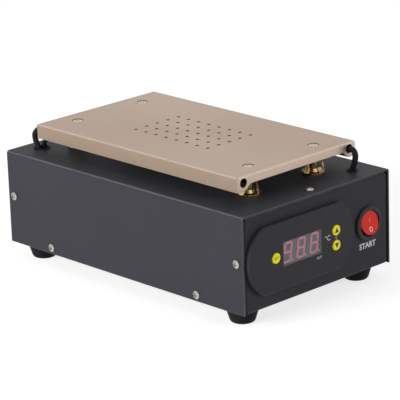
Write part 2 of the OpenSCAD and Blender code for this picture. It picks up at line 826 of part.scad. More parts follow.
module insulating_spacers() {
    color([0.9, 0.88, 0.82]) for (p = stud_spots) translate([p[0], p[1], top_z + tee_h])
        washer(spacer_d, m4_hole_d, stand_h - tee_h);
}

module stud_nuts() {
    color([0.7, 0.7, 0.68]) for (p = stud_spots) translate([p[0], p[1], ceiling_z]) {
        translate([0, 0, -washer_t]) washer(washer_d, m4_hole_d, washer_t);
        translate([0, 0, -washer_t - nut_h]) nut(nut_w, nut_h, m4_d);
    }
}

module heater() {
    run = plate_l - lead_recess - blind_recess;
    translate([0, -plate_l / 2 + lead_recess, 0]) rod_y(heater_d, run);
}

module heater_right() {
    color([0.62, 0.62, 0.6]) translate([bore_x, 0, bore_z]) heater();
}

module heater_left() {
    color([0.62, 0.62, 0.6]) translate([-bore_x, 0, bore_z]) rotate([0, 0, 180]) heater();
}

module heater_lead_front() {
    color([0.12, 0.12, 0.12]) sweep(front_lead_path, lead_d, lead_sides);
}

module heater_lead_rear() {
    color([0.12, 0.12, 0.12]) sweep(rear_lead_path, lead_d, lead_sides);
}

module temperature_sensor() {
    color([0.7, 0.7, 0.68]) translate([sensor_x, sensor_y - sensor_l / 2, slab_z - sensor_d / 2])
        rod_y(sensor_d, sensor_l);
}

module sensor_clip() {
    color([0.72, 0.72, 0.7]) {
        difference() {
            translate([sensor_x, sensor_y - clip_w / 2, slab_z]) along_y(clip_w) difference() {
                union() {
                    intersection() {
                        translate([0, -sensor_d / 2]) circle(sensor_d / 2 + clip_t);
                        translate([-sensor_d, -2 * sensor_d]) square([2 * sensor_d, 2 * sensor_d]);
                    }
                    translate([0, -clip_t]) square([sensor_d / 2 + clip_tail, clip_t]);
                }
                translate([0, -sensor_d / 2]) circle(sensor_d / 2 + thread_fit);
                translate([-sensor_d / 2, -sensor_d / 2]) square([sensor_d, sensor_d]);
            }
            translate([clip_screw_x, sensor_y, slab_z - clip_t - overrun])
                cylinder(d = m3_hole_d, h = clip_t + 2 * overrun);
        }
        translate([clip_screw_x, sensor_y, slab_z - clip_t]) rotate([180, 0, 0])
            pan_screw(m3_d, m3_head_d, m3_head_h, clip_t + suction_tap_depth - fit);
    }
}

module sensor_lead() {
    color([0.12, 0.12, 0.12]) sweep(sensor_lead_path, sensor_lead_d, lead_sides);
}

module grommet(bore) {
    outer_d = bore + 2 * grommet_wall;
    difference() {
        union() {
            cylinder(d = outer_d, h = sheet_t);
            for (z = [-grommet_cap, sheet_t]) translate([0, 0, z])
                cylinder(d = outer_d + 2 * grommet_rim, h = grommet_cap);
        }
        translate([0, 0, -grommet_cap - overrun])
            cylinder(d = bore, h = sheet_t + 2 * (grommet_cap + overrun));
    }
}

module lead_grommets() {
    color([0.08, 0.08, 0.08]) for (i = [0, 1])
        translate([grommet_spots[i][0], grommet_spots[i][1], ceiling_z]) grommet(grommet_bores[i]);
}

// Suction box and its hose
module suction_rim() {
    difference() {
        union() {
            difference() {
                round_rect(suction_w, suction_l, suction_boss_d / 2);
                round_rect(suction_w - 2 * suction_wall, suction_l - 2 * suction_wall,
                    suction_boss_d / 2 - suction_wall);
            }
            for (p = suction_spots) translate(p) circle(d = suction_boss_d);
        }
        for (p = suction_spots) translate(p) circle(d = m3_hole_d);
    }
}

module suction_box() {
    color([0.62, 0.63, 0.64]) translate([0, 0, suction_z]) {
        linear_extrude(suction_h) suction_rim();
        linear_extrude(suction_floor) difference() {
            round_rect(suction_w, suction_l, suction_boss_d / 2);
            for (p = suction_spots) translate(p) circle(d = m3_hole_d);
            circle(d = barb_thread_d + 2 * thread_fit);
        }
    }
}

module suction_gasket() {
    color([0.75, 0.25, 0.18]) translate([0, 0, suction_z + suction_h])
        linear_extrude(gasket_t) suction_rim();
}

module suction_box_screws() {
    color([0.72, 0.72, 0.7]) for (p = suction_spots)
        translate([p[0], p[1], suction_z]) rotate([180, 0, 0])
            pan_screw(m3_d, m3_head_d, m3_head_h, suction_h + gasket_t + suction_tap_depth - fit);
}

module barb_ridges_on(d) {
    for (i = [0:barb_ridges - 1]) translate([0, 0, i * barb_ridge_h])
        cylinder(d1 = d - barb_ridge, d2 = d + barb_ridge, h = barb_ridge_h);
}

module hose_barb() {
    color([0.78, 0.65, 0.35]) difference() {
        union() {
            translate([0, 0, suction_z - barb_hex_h]) hexagon(barb_hex, barb_hex_h);
            translate([0, 0, suction_z - overrun]) cylinder(d = barb_thread_d, h = suction_floor + overrun);
            translate([0, 0, barb_tip_z])
                cylinder(d = barb_neck_d, h = suction_z - barb_hex_h / 2 - barb_tip_z);
            translate([0, 0, barb_tip_z]) barb_ridges_on(barb_neck_d);
        }
        translate([0, 0, barb_tip_z - overrun])
            cylinder(d = barb_bore_d, h = suction_z + suction_floor - barb_tip_z + 2 * overrun);
    }
}

module vacuum_hose() {
    color([0.85, 0.87, 0.85]) sweep(hose_path, hose_d, hose_sides);
}

// Vacuum pump
module pump_motor() {
    color([0.66, 0.66, 0.66]) translate([pump_x, crank_l / 2, pump_z]) difference() {
        rotate([-90, 0, 0]) {
            cylinder(d1 = motor_d - 2 * motor_edge, d2 = motor_d, h = motor_edge);
            translate([0, 0, motor_edge]) cylinder(d = motor_d, h = motor_l - 2 * motor_edge);
            translate([0, 0, motor_l - motor_edge])
                cylinder(d1 = motor_d, d2 = motor_d - 2 * motor_edge, h = motor_edge);
            translate([0, 0, motor_l - overrun]) cylinder(d = motor_boss_d, h = motor_boss_l + overrun);
        }
        translate([0, -overrun, 0]) rod_y(shaft_bore_d, shaft_deep + overrun);
    }
}

module pump_crankcase() {
    color([0.2, 0.2, 0.21]) difference() {
        translate([pump_head_x, -crank_l / 2, pump_z - crank_h / 2]) cube([crank_w, crank_l, crank_h]);
        translate([pump_head_x - overrun, -crank_l / 2 + crank_wall, pump_z - crank_h / 2 + crank_wall])
            cube([crank_w - crank_wall + overrun, crank_l - 2 * crank_wall, crank_h - 2 * crank_wall]);
        translate([pump_x, 0, pump_z]) rod_y(crank_hole_d, crank_l);
    }
}

module pump_valve_head() {
    head_x = pump_head_x - diaphragm_t - head_t;
    color([0.16, 0.16, 0.17]) difference() {
        union() {
            translate([head_x, -crank_l / 2, pump_z - crank_h / 2]) cube([head_t, crank_l, crank_h]);
            for (s = [-1, 1]) translate([head_x - port_l, 0, pump_z + s * port_rise]) rotate([0, 90, 0]) {
                cylinder(d = port_d, h = port_l + overrun);
                cylinder(d1 = port_d - barb_ridge, d2 = port_d + barb_ridge, h = barb_ridge_h);
            }
        }
        for (s = [-1, 1]) translate([head_x - port_l - overrun, 0, pump_z + s * port_rise])
            rotate([0, 90, 0]) cylinder(d = barb_bore_d, h = port_l + head_t);
    }
}

module pump_diaphragm() {
    yoke_r = eccentric_d / 2 + pump_throw + fit;
    color([0.1, 0.1, 0.1]) {
        translate([pump_head_x - diaphragm_t, -crank_l / 2, pump_z - crank_h / 2])
            cube([diaphragm_t, crank_l, crank_h]);
        translate([pump_x, -eccentric_l / 2, pump_z]) difference() {
            union() {
                rod_y(2 * (yoke_r + yoke_wall), eccentric_l);
                translate([pump_head_x - pump_x - diaphragm_t / 2, 0, -eccentric_l / 2])
                    cube([pump_x - pump_head_x - yoke_r, eccentric_l, eccentric_l]);
            }
            translate([0, -overrun, 0]) rod_y(2 * yoke_r, eccentric_l + 2 * overrun);
        }
    }
}

module pump_shaft() {
    color([0.75, 0.75, 0.73]) translate([pump_x, 0, pump_z]) {
        translate([0, -eccentric_l / 2 - shaft_tail, 0])
            rod_y(shaft_d, eccentric_l / 2 + shaft_tail + crank_l / 2 + shaft_deep - fit);
        translate([0, -eccentric_l / 2, -pump_throw]) rod_y(eccentric_d, eccentric_l);
    }
}

module pump_bracket() {
    ring_r = motor_d / 2 + motor_fit;
    plate_run = 2 * bush_y + bush_d;
    color([0.68, 0.68, 0.67]) difference() {
        union() {
            translate([pump_x, bracket_y - bracket_w / 2, pump_z])
                rod_y(2 * (ring_r + bracket_t), bracket_w);
            translate([pump_x - bush_x - bush_d / 2, bracket_y - plate_run / 2, floor_z + bush_h])
                cube([2 * bush_x + bush_d, plate_run, bracket_t]);
        }
        translate([pump_x, bracket_y - plate_run, pump_z]) rod_y(2 * ring_r, 2 * plate_run);
        for (p = bush_spots) translate([p[0], p[1], floor_z + bush_h - overrun])
            cylinder(d = bush_neck_d + 2 * thread_fit, h = bracket_t + 2 * overrun);
    }
}

module pump_bushes() {
    color([0.1, 0.1, 0.1]) for (p = bush_spots) translate([p[0], p[1], floor_z]) difference() {
        union() {
            cylinder(d = bush_d, h = bush_h);
            cylinder(d = bush_neck_d, h = bush_h + bracket_t + bush_cap_t);
            translate([0, 0, bush_h + bracket_t]) cylinder(d = bush_d, h = bush_cap_t);
        }
        translate([0, 0, -overrun])
            cylinder(d = m3_hole_d, h = bush_h + bracket_t + bush_cap_t + 2 * overrun);
    }
}

module inner_screws() {
    bush_stack = bush_h + bracket_t + bush_cap_t;
    color([0.72, 0.72, 0.7]) {
        for (p = bush_spots) translate([p[0], p[1], floor_z + bush_stack])
            pan_screw(m3_d, m3_head_d, m3_head_h, bush_stack + sheet_t);
        for (p = post_spots) translate([p[0], p[1], supply_top_z])
            pan_screw(m3_d, m3_head_d, m3_head_h, board_t + post_h / 2);
    }
}

module pump_lead() {
    color([0.6, 0.12, 0.1]) sweep(pump_lead_path, pump_lead_d, lead_sides);
}

// Temperature controller
module edged_disc(r, run, edge) {
    rotate([-90, 0, 0]) {
        cylinder(r1 = r - edge, r2 = r, h = edge);
        translate([0, 0, edge]) cylinder(r = r, h = run - edge);
    }
}

module panel_body(inset, run, edge) {
    end_x = ctrl_w / 2 - ctrl_end_r;
    corner_z = ctrl_h / 2 - ctrl_corner_r;
    corner_dx = sqrt(pow(ctrl_end_r - ctrl_corner_r, 2) - corner_z * corner_z);
    half_h = ctrl_h / 2 - inset;
    translate([-end_x - corner_dx, 0, 0]) along_x(2 * (end_x + corner_dx)) polygon([
        [0, -half_h + edge], [edge, -half_h], [run, -half_h], [run, half_h], [edge, half_h],
        [0, half_h - edge]]);
    for (s = [-1, 1]) {
        for (u = [-1, 1]) translate([s * (end_x + corner_dx), 0, u * corner_z])
            edged_disc(ctrl_corner_r - inset, run, edge);
        intersection() {
            translate([s * end_x, 0, 0]) edged_disc(ctrl_end_r - inset, run, edge);
            translate([s * end_x, 0, 0]) along_y(run) polygon([[0, 0],
                [s * 2 * corner_dx, 2 * corner_z], [s * ctrl_w, 2 * corner_z],
                [s * ctrl_w, -2 * corner_z], [s * 2 * corner_dx, -2 * corner_z]]);
        }
    }
}

module controller_bezel() {
    color([0.15, 0.15, 0.16]) {
        difference() {
            translate([ctrl_x, ctrl_y, ctrl_z]) panel_body(0, ctrl_proud, ctrl_edge);
            translate([ctrl_x, ctrl_skin_y, ctrl_z]) panel_body(ctrl_wall, ctrl_proud, 0);
            translate([ctrl_x, ctrl_y - overrun, ctrl_z + window_rise]) along_y(ctrl_skin + 2 * overrun)
                square([window_w, window_h], center = true);
            for (p = button_spots) translate([p[0], ctrl_y - overrun, p[1]])
                rod_y(button_d + 2 * fit, ctrl_skin + 2 * overrun);
            translate([button_spots[1][0], ctrl_y - overrun, ctrl_z - arrow_button_drop])
                rod_y(lamp_d + 2 * thread_fit, ctrl_skin + 2 * overrun);
        }
        for (p = stake_spots) translate([p[0], ctrl_skin_y, p[1]]) {
            rod_y(post_d, board_y - ctrl_skin_y);
            rod_y(stake_d, board_y - ctrl_skin_y + board_t + fit);
        }
        for (sx = [-1, 1], sz = [0, 1]) translate([ctrl_x + sx * hook_x - hook_w / 2, 0, ctrl_z])
            mirror([0, 0, sz]) along_x(hook_w) polygon([
                [ctrl_skin_y, cutout_h / 2 - fit - hook_t], [ctrl_skin_y, cutout_h / 2 - fit],
                [panel_back_y + fit, cutout_h / 2 - fit],
                [panel_back_y + fit, cutout_h / 2 - fit + hook_reach],
                [panel_back_y + fit + hook_l, cutout_h / 2 - fit],
                [panel_back_y + fit + hook_l, cutout_h / 2 - fit - hook_t]]);
    }
}

module display_window() {
    color([0.4, 0.4, 0.42]) translate([ctrl_x, ctrl_y + pane_sink, ctrl_z + window_rise]) along_y(pane_t)
        square([window_w - 2 * thread_fit, window_h - 2 * thread_fit], center = true);
}

module display_module() {
    color([0.5, 0.5, 0.52]) translate([ctrl_x, ctrl_skin_y, ctrl_z + window_rise])
        along_y(board_y - ctrl_skin_y) square([module_w, module_h], center = true);
}

function leaning(p) = [p[0] + p[1] * tan(digit_lean), p[1]];
function segment(c, run, upright) = [for (p = [[-run / 2, 0], [-run / 2 + segment_w / 2, segment_w / 2],
    [run / 2 - segment_w / 2, segment_w / 2], [run / 2, 0], [run / 2 - segment_w / 2, -segment_w / 2],
    [-run / 2 + segment_w / 2, -segment_w / 2]]) leaning(c + (upright ? [p[1], p[0]] : p))];

module digit() {
    flat_run = digit_w - segment_w - segment_gap;
    upright_run = (digit_h - segment_w) / 2 - segment_gap;
    for (j = [-1, 0, 1]) polygon(segment([0, j * (digit_h - segment_w) / 2], flat_run, false));
    for (i = [-1, 1], j = [-1, 1])
        polygon(segment([i * (digit_w - segment_w) / 2, j * (digit_h - segment_w) / 4], upright_run, true));
    translate(leaning([digit_w / 2 + point_gap, (point_d - digit_h) / 2])) circle(d = point_d);
}

module display_digits() {
    color([0.95, 0.35, 0.4]) translate([ctrl_x, ctrl_skin_y - segment_t, ctrl_z + window_rise])
        along_y(segment_t) for (i = [-1, 0, 1]) translate([i * digit_pitch, 0]) digit();
}

module push_button(spot) {
    color([0.85, 0.75, 0.2]) translate([spot[0], 0, spot[1]]) {
        translate([0, ctrl_y - button_proud, 0]) edged_disc(button_d / 2, ctrl_skin + button_proud, fit);
        translate([0, ctrl_skin_y, 0]) rod_y(button_d + 2 * button_flange_w, button_flange_t);
        translate([0, ctrl_skin_y, 0])
            rod_y(button_stem_d, board_y - tact_h + button_stem_bite - ctrl_skin_y);
    }
}

module button_set() {
    push_button(button_spots[0]);
}

module button_up() {
    push_button(button_spots[1]);
}

module button_down() {
    push_button(button_spots[2]);
}

module tact_switches() {
    color([0.12, 0.12, 0.12]) for (p = button_spots) translate([p[0], board_y - tact_h, p[1]]) difference() {
        translate([-tact_w / 2, 0, -tact_w / 2]) cube([tact_w, tact_h, tact_w]);
        translate([0, -overrun, 0]) rod_y(button_stem_d + 2 * fit, tact_hole_depth + overrun);
    }
}

module set_lamp() {
    color([0.5, 0.6, 0.8]) translate([button_spots[1][0], ctrl_y, ctrl_z - arrow_button_drop])
        rod_y(lamp_d, board_y - ctrl_y);
}

module controller_board() {
    color([0.1, 0.35, 0.2]) difference() {
        translate([ctrl_x - board_w / 2, board_y, ctrl_z - board_h / 2]) cube([board_w, board_t, board_h]);
        for (p = stake_spots) translate([p[0], board_y - overrun, p[1]])
            rod_y(stake_d + 2 * thread_fit, board_t + 2 * overrun);
    }
}

// Power switch
module switch_body() {
    opening_d = rocker_d + switch_opening;
    cavity_d = barrel_d - 2 * barrel_wall;
    color([0.1, 0.1, 0.1]) translate([switch_x, panel_y, switch_z]) {
        difference() {
            union() {
                translate([0, -switch_rim_t, 0])
                    edged_disc(switch_d / 2, switch_rim_t, switch_rim_chamfer);
                rod_y(barrel_d, switch_depth);
                for (s = [0, 1]) mirror([s, 0, 0]) translate([0, 0, -wing_w / 2]) linear_extrude(wing_w)
                    polygon([[barrel_d / 2 - barrel_wall / 2, sheet_t + fit],
                        [barrel_d / 2 + wing_reach, sheet_t + fit],
                        [barrel_d / 2, sheet_t + wing_l],
                        [barrel_d / 2 - barrel_wall / 2, sheet_t + wing_l]]);
            }
            translate([0, -switch_rim_t - overrun, 0]) rod_y(opening_d, switch_rim_t + overrun);
            translate([0, -switch_rim_t, 0]) rod_y(cavity_d, switch_rim_t + switch_cavity);
            translate([0, pivot_back, 0]) rotate([0, 90, 0])
                cylinder(d = pivot_pin_d + 2 * thread_fit, h = cavity_d + 2 * (pivot_pin_bite + thread_fit),
                    center = true);
        }
    }
}

module switch_rocker() {
    pin_run = barrel_d - 2 * barrel_wall + 2 * pivot_pin_bite;
    color([0.75, 0.1, 0.1]) translate([switch_x, pivot_y, switch_z]) rotate([rocker_rest, 0, 0]) {
        intersection() {
            translate([0, -rocker_tip - overrun, 0]) rod_y(rocker_d, rocker_tip + overrun - rocker_shoulder);
            translate([-rocker_d / 2, 0, 0]) along_x(rocker_d) polygon([
                [-rocker_tip, -rocker_d / 2], [-rocker_valley, 0], [-rocker_tip, rocker_d / 2],
                [0, rocker_d / 2], [0, -rocker_d / 2]]);
        }
        translate([0, -rocker_shoulder - fit, 0])
            rod_y(rocker_core_d, rocker_shoulder + fit + rocker_core_back);
        rotate([0, 90, 0]) cylinder(d = pivot_pin_d, h = pin_run, center = true);
    }
}

module switch_terminals() {
    color([0.75, 0.72, 0.6]) for (i = [-1, 0, 1])
        translate([switch_x - blade_w / 2, panel_y + switch_depth, switch_z + i * blade_gap - blade_t / 2])
            cube([blade_w, blade_l, blade_t]);
}

// Mains inlet
module socket_section(grow) {
    w = socket_w + 2 * grow;
    h = socket_h + 2 * grow;
    polygon([[-w / 2, -h / 2], [w / 2, -h / 2], [w / 2, h / 2 - socket_chamfer],
        [w / 2 - socket_chamfer, h / 2], [-w / 2 + socket_chamfer, h / 2],
        [-w / 2, h / 2 - socket_chamfer]]);
}

module power_inlet() {
    color([0.11, 0.11, 0.12]) difference() {
        union() {
            translate([inlet_x, rear_y, inlet_z]) along_y(inlet_flange_t)
                round_rect(inlet_w, inlet_h, inlet_corner_r);
            translate([inlet_x, rear_y - inlet_body_l, inlet_z]) along_y(inlet_body_l + overrun)
                round_rect(inlet_body_w, inlet_body_h, inlet_corner_r);
        }
        translate([inlet_x, inlet_out_y - socket_depth, inlet_z + socket_rise])
            along_y(socket_depth + overrun) socket_section(0);
        for (p = pin_spots) translate([p[0], rear_y - inlet_body_l - overrun, inlet_z + socket_rise + p[1]])
            along_y(inlet_body_l) square([pin_t + 2 * thread_fit, pin_w + 2 * thread_fit], center = true);
        translate([inlet_x, inlet_out_y - drawer_l, inlet_z - drawer_drop]) along_y(drawer_l + overrun)
            square([drawer_w + 2 * fit, drawer_h + 2 * fit], center = true);
        for (s = [-1, 1]) translate([inlet_x + s * inlet_ear_gap / 2, rear_y - overrun, inlet_z])
            rod_y(m3_hole_d, inlet_flange_t + 2 * overrun);
    }
}

module inlet_pins() {
    back_y = rear_y - inlet_body_l - tab_l;
    color([0.78, 0.76, 0.7]) for (p = pin_spots) translate([p[0], back_y, inlet_z + socket_rise + p[1]])
        along_y(inlet_out_y - socket_depth + pin_l - back_y) square([pin_t, pin_w], center = true);
}

module inlet_screws() {
    color([0.75, 0.75, 0.73]) for (s = [-1, 1])
        translate([inlet_x + s * inlet_ear_gap / 2, inlet_out_y, inlet_z]) rotate([-90, 0, 0]) {
            pan_screw(m3_d, m3_head_d, m3_head_h, inlet_flange_t + sheet_t + m3_nut_h + overrun);
            translate([0, 0, -inlet_flange_t - sheet_t - m3_nut_h]) nut(m3_nut_w, m3_nut_h, m3_d);
        }
}

module fuse_drawer() {
    inner_y = inlet_out_y - drawer_l + fit;
    color([0.14, 0.14, 0.15]) translate([inlet_x, 0, inlet_z - drawer_drop]) difference() {
        union() {
            translate([0, inner_y, 0]) along_y(drawer_l - fit) square([drawer_w, drawer_h], center = true);
            translate([0, inlet_out_y, 0]) along_y(drawer_lip_t)
                square([drawer_w + 2 * drawer_lip, drawer_h + 2 * drawer_lip], center = true);
        }
        translate([-fuse_l / 2 - thread_fit, inner_y + drawer_end, -fuse_d / 2])
            cube([fuse_l + 2 * thread_fit, fuse_d + 2 * thread_fit, drawer_h]);
    }
}

module fuse() {
    color([0.8, 0.8, 0.78])
        translate([inlet_x - fuse_l / 2, inlet_out_y - drawer_l + fit + drawer_end + thread_fit + fuse_d / 2,
            inlet_z - drawer_drop]) rotate([0, 90, 0]) cylinder(d = fuse_d, h = fuse_l);
}

module mains_lead() {
    color([0.07, 0.07, 0.07]) sweep(mains_lead_path, mains_d, lead_sides);
}

// Power supply
module supply_board() {
    color([0.1, 0.35, 0.2]) difference() {
        translate([supply_x, supply_y, supply_z]) cube([supply_w, supply_l, board_t]);
        for (p = post_spots) translate([p[0], p[1], supply_z - overrun])
            cylinder(d = m3_hole_d, h = board_t + 2 * overrun);
    }
}

module board_posts() {
    color([0.75, 0.7, 0.5]) for (p = post_spots) translate([p[0], p[1], floor_z]) difference() {
        union() {
            hexagon(post_hex, post_h);
            translate([0, 0, -sheet_t]) cylinder(d = m3_d, h = sheet_t + overrun);
        }
        translate([0, 0, post_h / 2 - fit]) cylinder(d = m3_tap_d, h = post_h);
    }
}

module supply_transformer() {
    color([0.5, 0.42, 0.3]) translate([bulk_x, core_y, supply_top_z]) {
        translate([-core_size[0] / 2, -core_size[1] / 2, 0]) cube(core_size);
        linear_extrude(coil_size[2]) round_rect(coil_size[0], coil_size[1], coil_r);
    }
}

module supply_capacitors() {
    color([0.12, 0.2, 0.4]) for (i = [0:cap_count - 1])
        translate([cap_x, cap_y + i * cap_pitch, supply_top_z]) {
            cylinder(d = cap_d, h = cap_h - cap_edge);
            translate([0, 0, cap_h - cap_edge])
                cylinder(d1 = cap_d, d2 = cap_d - 2 * cap_edge, h = cap_edge);
        }
}

module supply_heatsink() {
    fin_pitch = (sink_size[0] - fin_t) / (fin_count - 1);
    color([0.6, 0.6, 0.62]) translate([bulk_x, sink_y - sink_size[1] / 2, supply_top_z])
        along_y(sink_size[1]) {
            translate([-sink_size[0] / 2, 0]) square([sink_size[0], sink_base]);
            for (i = [0:fin_count - 1]) translate([-sink_size[0] / 2 + i * fin_pitch, 0])
                square([fin_t, sink_size[2]]);
        }
}

module terminal_block(face_y, inward) {
    color([0.15, 0.45, 0.25]) difference() {
        translate([terminal_x - terminal_w / 2, min(face_y, face_y + inward * terminal_l), supply_top_z])
            cube([terminal_w, terminal_l, terminal_h]);
        for (x = way_x) translate([x, face_y, 0]) {
            translate([0, -terminal_hole_l, terminal_wire_z]) rod_y(terminal_hole_d, 2 * terminal_hole_l);
            translate([0, inward * terminal_l / 2, supply_top_z + terminal_h - terminal_screw_sink])
                cylinder(d = terminal_screw_d, h = terminal_screw_sink + overrun);
        }
    }
}

module terminal_blocks() {
    terminal_block(supply_y, 1);
    terminal_block(supply_y + supply_l, -1);
}

cover();
base_tray();
foot_front_left();
foot_front_right();
foot_rear_left();
foot_rear_right();
foot_screws();
cover_screws();
heating_plate();
plate_screws();
tee_nuts();
insulating_spacers();
stud_nuts();
heater_left();
heater_right();
heater_lead_front();
heater_lead_rear();
temperature_sensor();
sensor_clip();
sensor_lead();
lead_grommets();
suction_box();
suction_gasket();
suction_box_screws();
hose_barb();
vacuum_hose();
pump_motor();
pump_crankcase();
pump_valve_head();
pump_diaphragm();
pump_shaft();
pump_bracket();
pump_bushes();
inner_screws();
pump_lead();
controller_bezel();
display_window();
display_module();
display_digits();
button_set();
button_up();
button_down();
tact_switches();
set_lamp();
controller_board();
switch_body();
switch_rocker();
switch_terminals();
power_inlet();
inlet_pins();
inlet_screws();
fuse_drawer();
fuse();
mains_lead();
supply_board();
board_posts();
supply_transformer();
supply_capacitors();
supply_heatsink();
terminal_blocks();
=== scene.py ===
import json
import math

import bmesh
import bpy
from mathutils import Matrix, Vector


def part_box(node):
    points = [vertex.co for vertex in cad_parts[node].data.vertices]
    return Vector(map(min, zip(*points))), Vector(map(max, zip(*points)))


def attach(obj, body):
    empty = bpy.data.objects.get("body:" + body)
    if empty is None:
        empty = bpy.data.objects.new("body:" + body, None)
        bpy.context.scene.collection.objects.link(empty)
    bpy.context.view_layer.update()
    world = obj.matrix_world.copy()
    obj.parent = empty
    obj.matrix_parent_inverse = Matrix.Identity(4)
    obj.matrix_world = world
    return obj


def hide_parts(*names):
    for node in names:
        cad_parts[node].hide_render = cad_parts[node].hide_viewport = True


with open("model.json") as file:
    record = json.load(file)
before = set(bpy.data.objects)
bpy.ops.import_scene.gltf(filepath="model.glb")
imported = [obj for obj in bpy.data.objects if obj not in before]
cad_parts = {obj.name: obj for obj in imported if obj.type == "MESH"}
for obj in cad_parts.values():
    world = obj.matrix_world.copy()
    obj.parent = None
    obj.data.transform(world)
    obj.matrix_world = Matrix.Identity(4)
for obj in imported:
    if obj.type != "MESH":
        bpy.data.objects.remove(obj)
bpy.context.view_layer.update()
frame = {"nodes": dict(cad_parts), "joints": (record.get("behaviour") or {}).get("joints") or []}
cadNodes = frame["nodes"]
mm = 0.001
print("frame:", len(cadNodes), "pieces from the CAD model")


def middle(name):
    low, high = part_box(name)
    return (low + high) / 2


class Wire:  # one output of a node: plain arithmetic on it adds Math nodes
    def __init__(self, graph, node, output=0):
        self.graph = graph
        self.node = node
        self.socket = node.outputs[output] if len(node.outputs) else None

    def __add__(self, other):
        return self.graph.maths("ADD", self, other)

    def __sub__(self, other):
        return self.graph.maths("SUBTRACT", self, other)

    def __rsub__(self, other):
        return self.graph.maths("SUBTRACT", other, self)

    def __mul__(self, other):
        return self.graph.maths("MULTIPLY", self, other)

    __radd__ = __add__
    __rmul__ = __mul__


class Graph:  # the nodes of a material or of the world
    def __init__(self, owner):
        owner.use_nodes = True
        self.tree = owner.node_tree
        self.tree.nodes.clear()

    def feed(self, node, sockets):
        for key, value in sockets.items():
            if isinstance(value, Wire):
                self.tree.links.new(value.socket, node.inputs[key])
            else:
                node.inputs[key].default_value = value

    def node(self, kind, settings=None, sockets=None, output=0):
        made = self.tree.nodes.new(kind)
        for key, value in (settings or {}).items():
            if key == "stops":
                setStops(made.color_ramp, value)
            else:
                setattr(made, key, value)
        self.feed(made, sockets or {})
        return Wire(self, made, output)

    def maths(self, operation, *values):
        return self.node("ShaderNodeMath", {"operation": operation}, dict(enumerate(values)))


class Recipe(Graph):  # one material, built around its main shader
    def __init__(self, name, **fixed):  # fixed is what stays the same all over the surface
        self.material = bpy.data.materials.new(name)
        super().__init__(self.material)
        shader = self.node("ShaderNodeBsdfPrincipled", None, spaced(fixed))
        self.shader = shader.node
        self.node("ShaderNodeOutputMaterial", None, {"Surface": shader})
        self.place = self.node("ShaderNodeTexCoord", output="Object")

    def noise(self, grain, detail=2.0, stretch=(1, 1, 1)):  # grain is the size of a blotch
        spread = self.node("ShaderNodeVectorMath", {"operation": "MULTIPLY"},
                           {0: self.place, 1: [1 / (grain * share) for share in stretch]})
        return self.node("ShaderNodeTexNoise", None, {"Vector": spread, "Scale": 1.0, "Detail": detail})

    def step(self, value, low, high, start=0.0, end=1.0):  # start below low, end above high
        return self.node("ShaderNodeMapRange", {"interpolation_type": "SMOOTHSTEP"},
                         {0: value, 1: low, 2: high, 3: start, 4: end})

    def between(self, value, low, high, soft):  # 1 between low and high
        return self.step(value, low, low + soft) * self.step(value, high - soft, high, 1, 0)

    def size(self, value):  # without its sign
        return self.maths("ABSOLUTE", value)

    def axes(self, where):  # its X, Y and Z apart
        apart = self.node("ShaderNodeSeparateXYZ", None, {0: where})
        return [Wire(self, apart.node, axis) for axis in "XYZ"]

    def flat(self):  # the way a face looks, before any softening
        return self.node("ShaderNodeNewGeometry", output="Normal")

    def rounded(self, radius):  # the normal of an edge softened by this radius
        return self.node("ShaderNodeBevel", {"samples": 6}, {"Radius": radius})

    def edge(self, radius, low=0.02, high=0.25):  # 1 on an outer or inner edge, 0 on the flats
        along = self.node("ShaderNodeVectorMath", {"operation": "DOT_PRODUCT"},
                          {0: self.rounded(radius), 1: self.flat()}, output="Value")
        return self.step(1 - along, low, high)

    def bump(self, height, depth, normal=None):
        sockets = {"Height": height, "Distance": depth, "Strength": 1.0}
        if normal:
            sockets["Normal"] = normal
        return self.node("ShaderNodeBump", None, sockets)

    def blend(self, factor, first, second):
        return self.node("ShaderNodeMix", {"data_type": "RGBA"}, {0: factor, 6: first, 7: second}, output=2)

    def drift(self, factor, colour, darkest, lightest):  # one colour that wanders in strength
        return self.blend(factor, shade(*colour, darkest), shade(*colour, lightest))

    def finish(self, colour, roughness, normal, **others):
        self.feed(self.shader, {"Base Color": colour, "Roughness": roughness, "Normal": normal, **spaced(others)})
        return self.material


def spaced(sockets):  # Coat_Weight stands for the socket Coat Weight
    return {key.replace("_", " "): value for key, value in sockets.items()}


def setStops(ramp, stops):
    while len(ramp.elements) < len(stops):
        ramp.elements.new(1.0)
    for element, (position, colour) in zip(ramp.elements, stops):
        element.position = position
        element.color = colour


def shade(red, green, blue, share=1.0):
    return (red * share, green * share, blue * share, 1.0)


powder = {
    "colour": (0.034, 0.034, 0.041), "range": (0.88, 1.12), "cloud": 60 * mm, "shine": 0.12,
    "rough": 0.5, "vary": (0.1, 0.08), "peel": 0.55 * mm, "depth": 0.03 * mm, "edge": 0.4 * mm,
    "speck": (0.2, 0.2, 0.22), "speckGrain": 0.35 * mm, "speckStep": (0.66, 0.78), "speckShare": 0.12,
    # the pale colour of the painted highlights below
    "paintedHighlight": (0.15, 0.15, 0.165),
    "fold": 0.9 * mm, "foldStep": (0.01, 0.12), "foldGrain": 7 * mm, "foldPatch": (0.3, 0.7, 0.65, 1),
    "foldShare": 0.75,  # painted highlight along the sharp edges
    "bend": (0.46, 0.92), "bendSoft": 0.14, "bendGrain": 9 * mm, "bendPatch": (0.25, 0.6, 0.6, 1),
    "bendShare": 0.56,  # painted highlight on the round of the long bends, by how far a face looks up
    "cut": (0.15 * mm, 0.05 * mm), "cutShare": 0.4,  # painted highlight on the cover's two cut ends
}


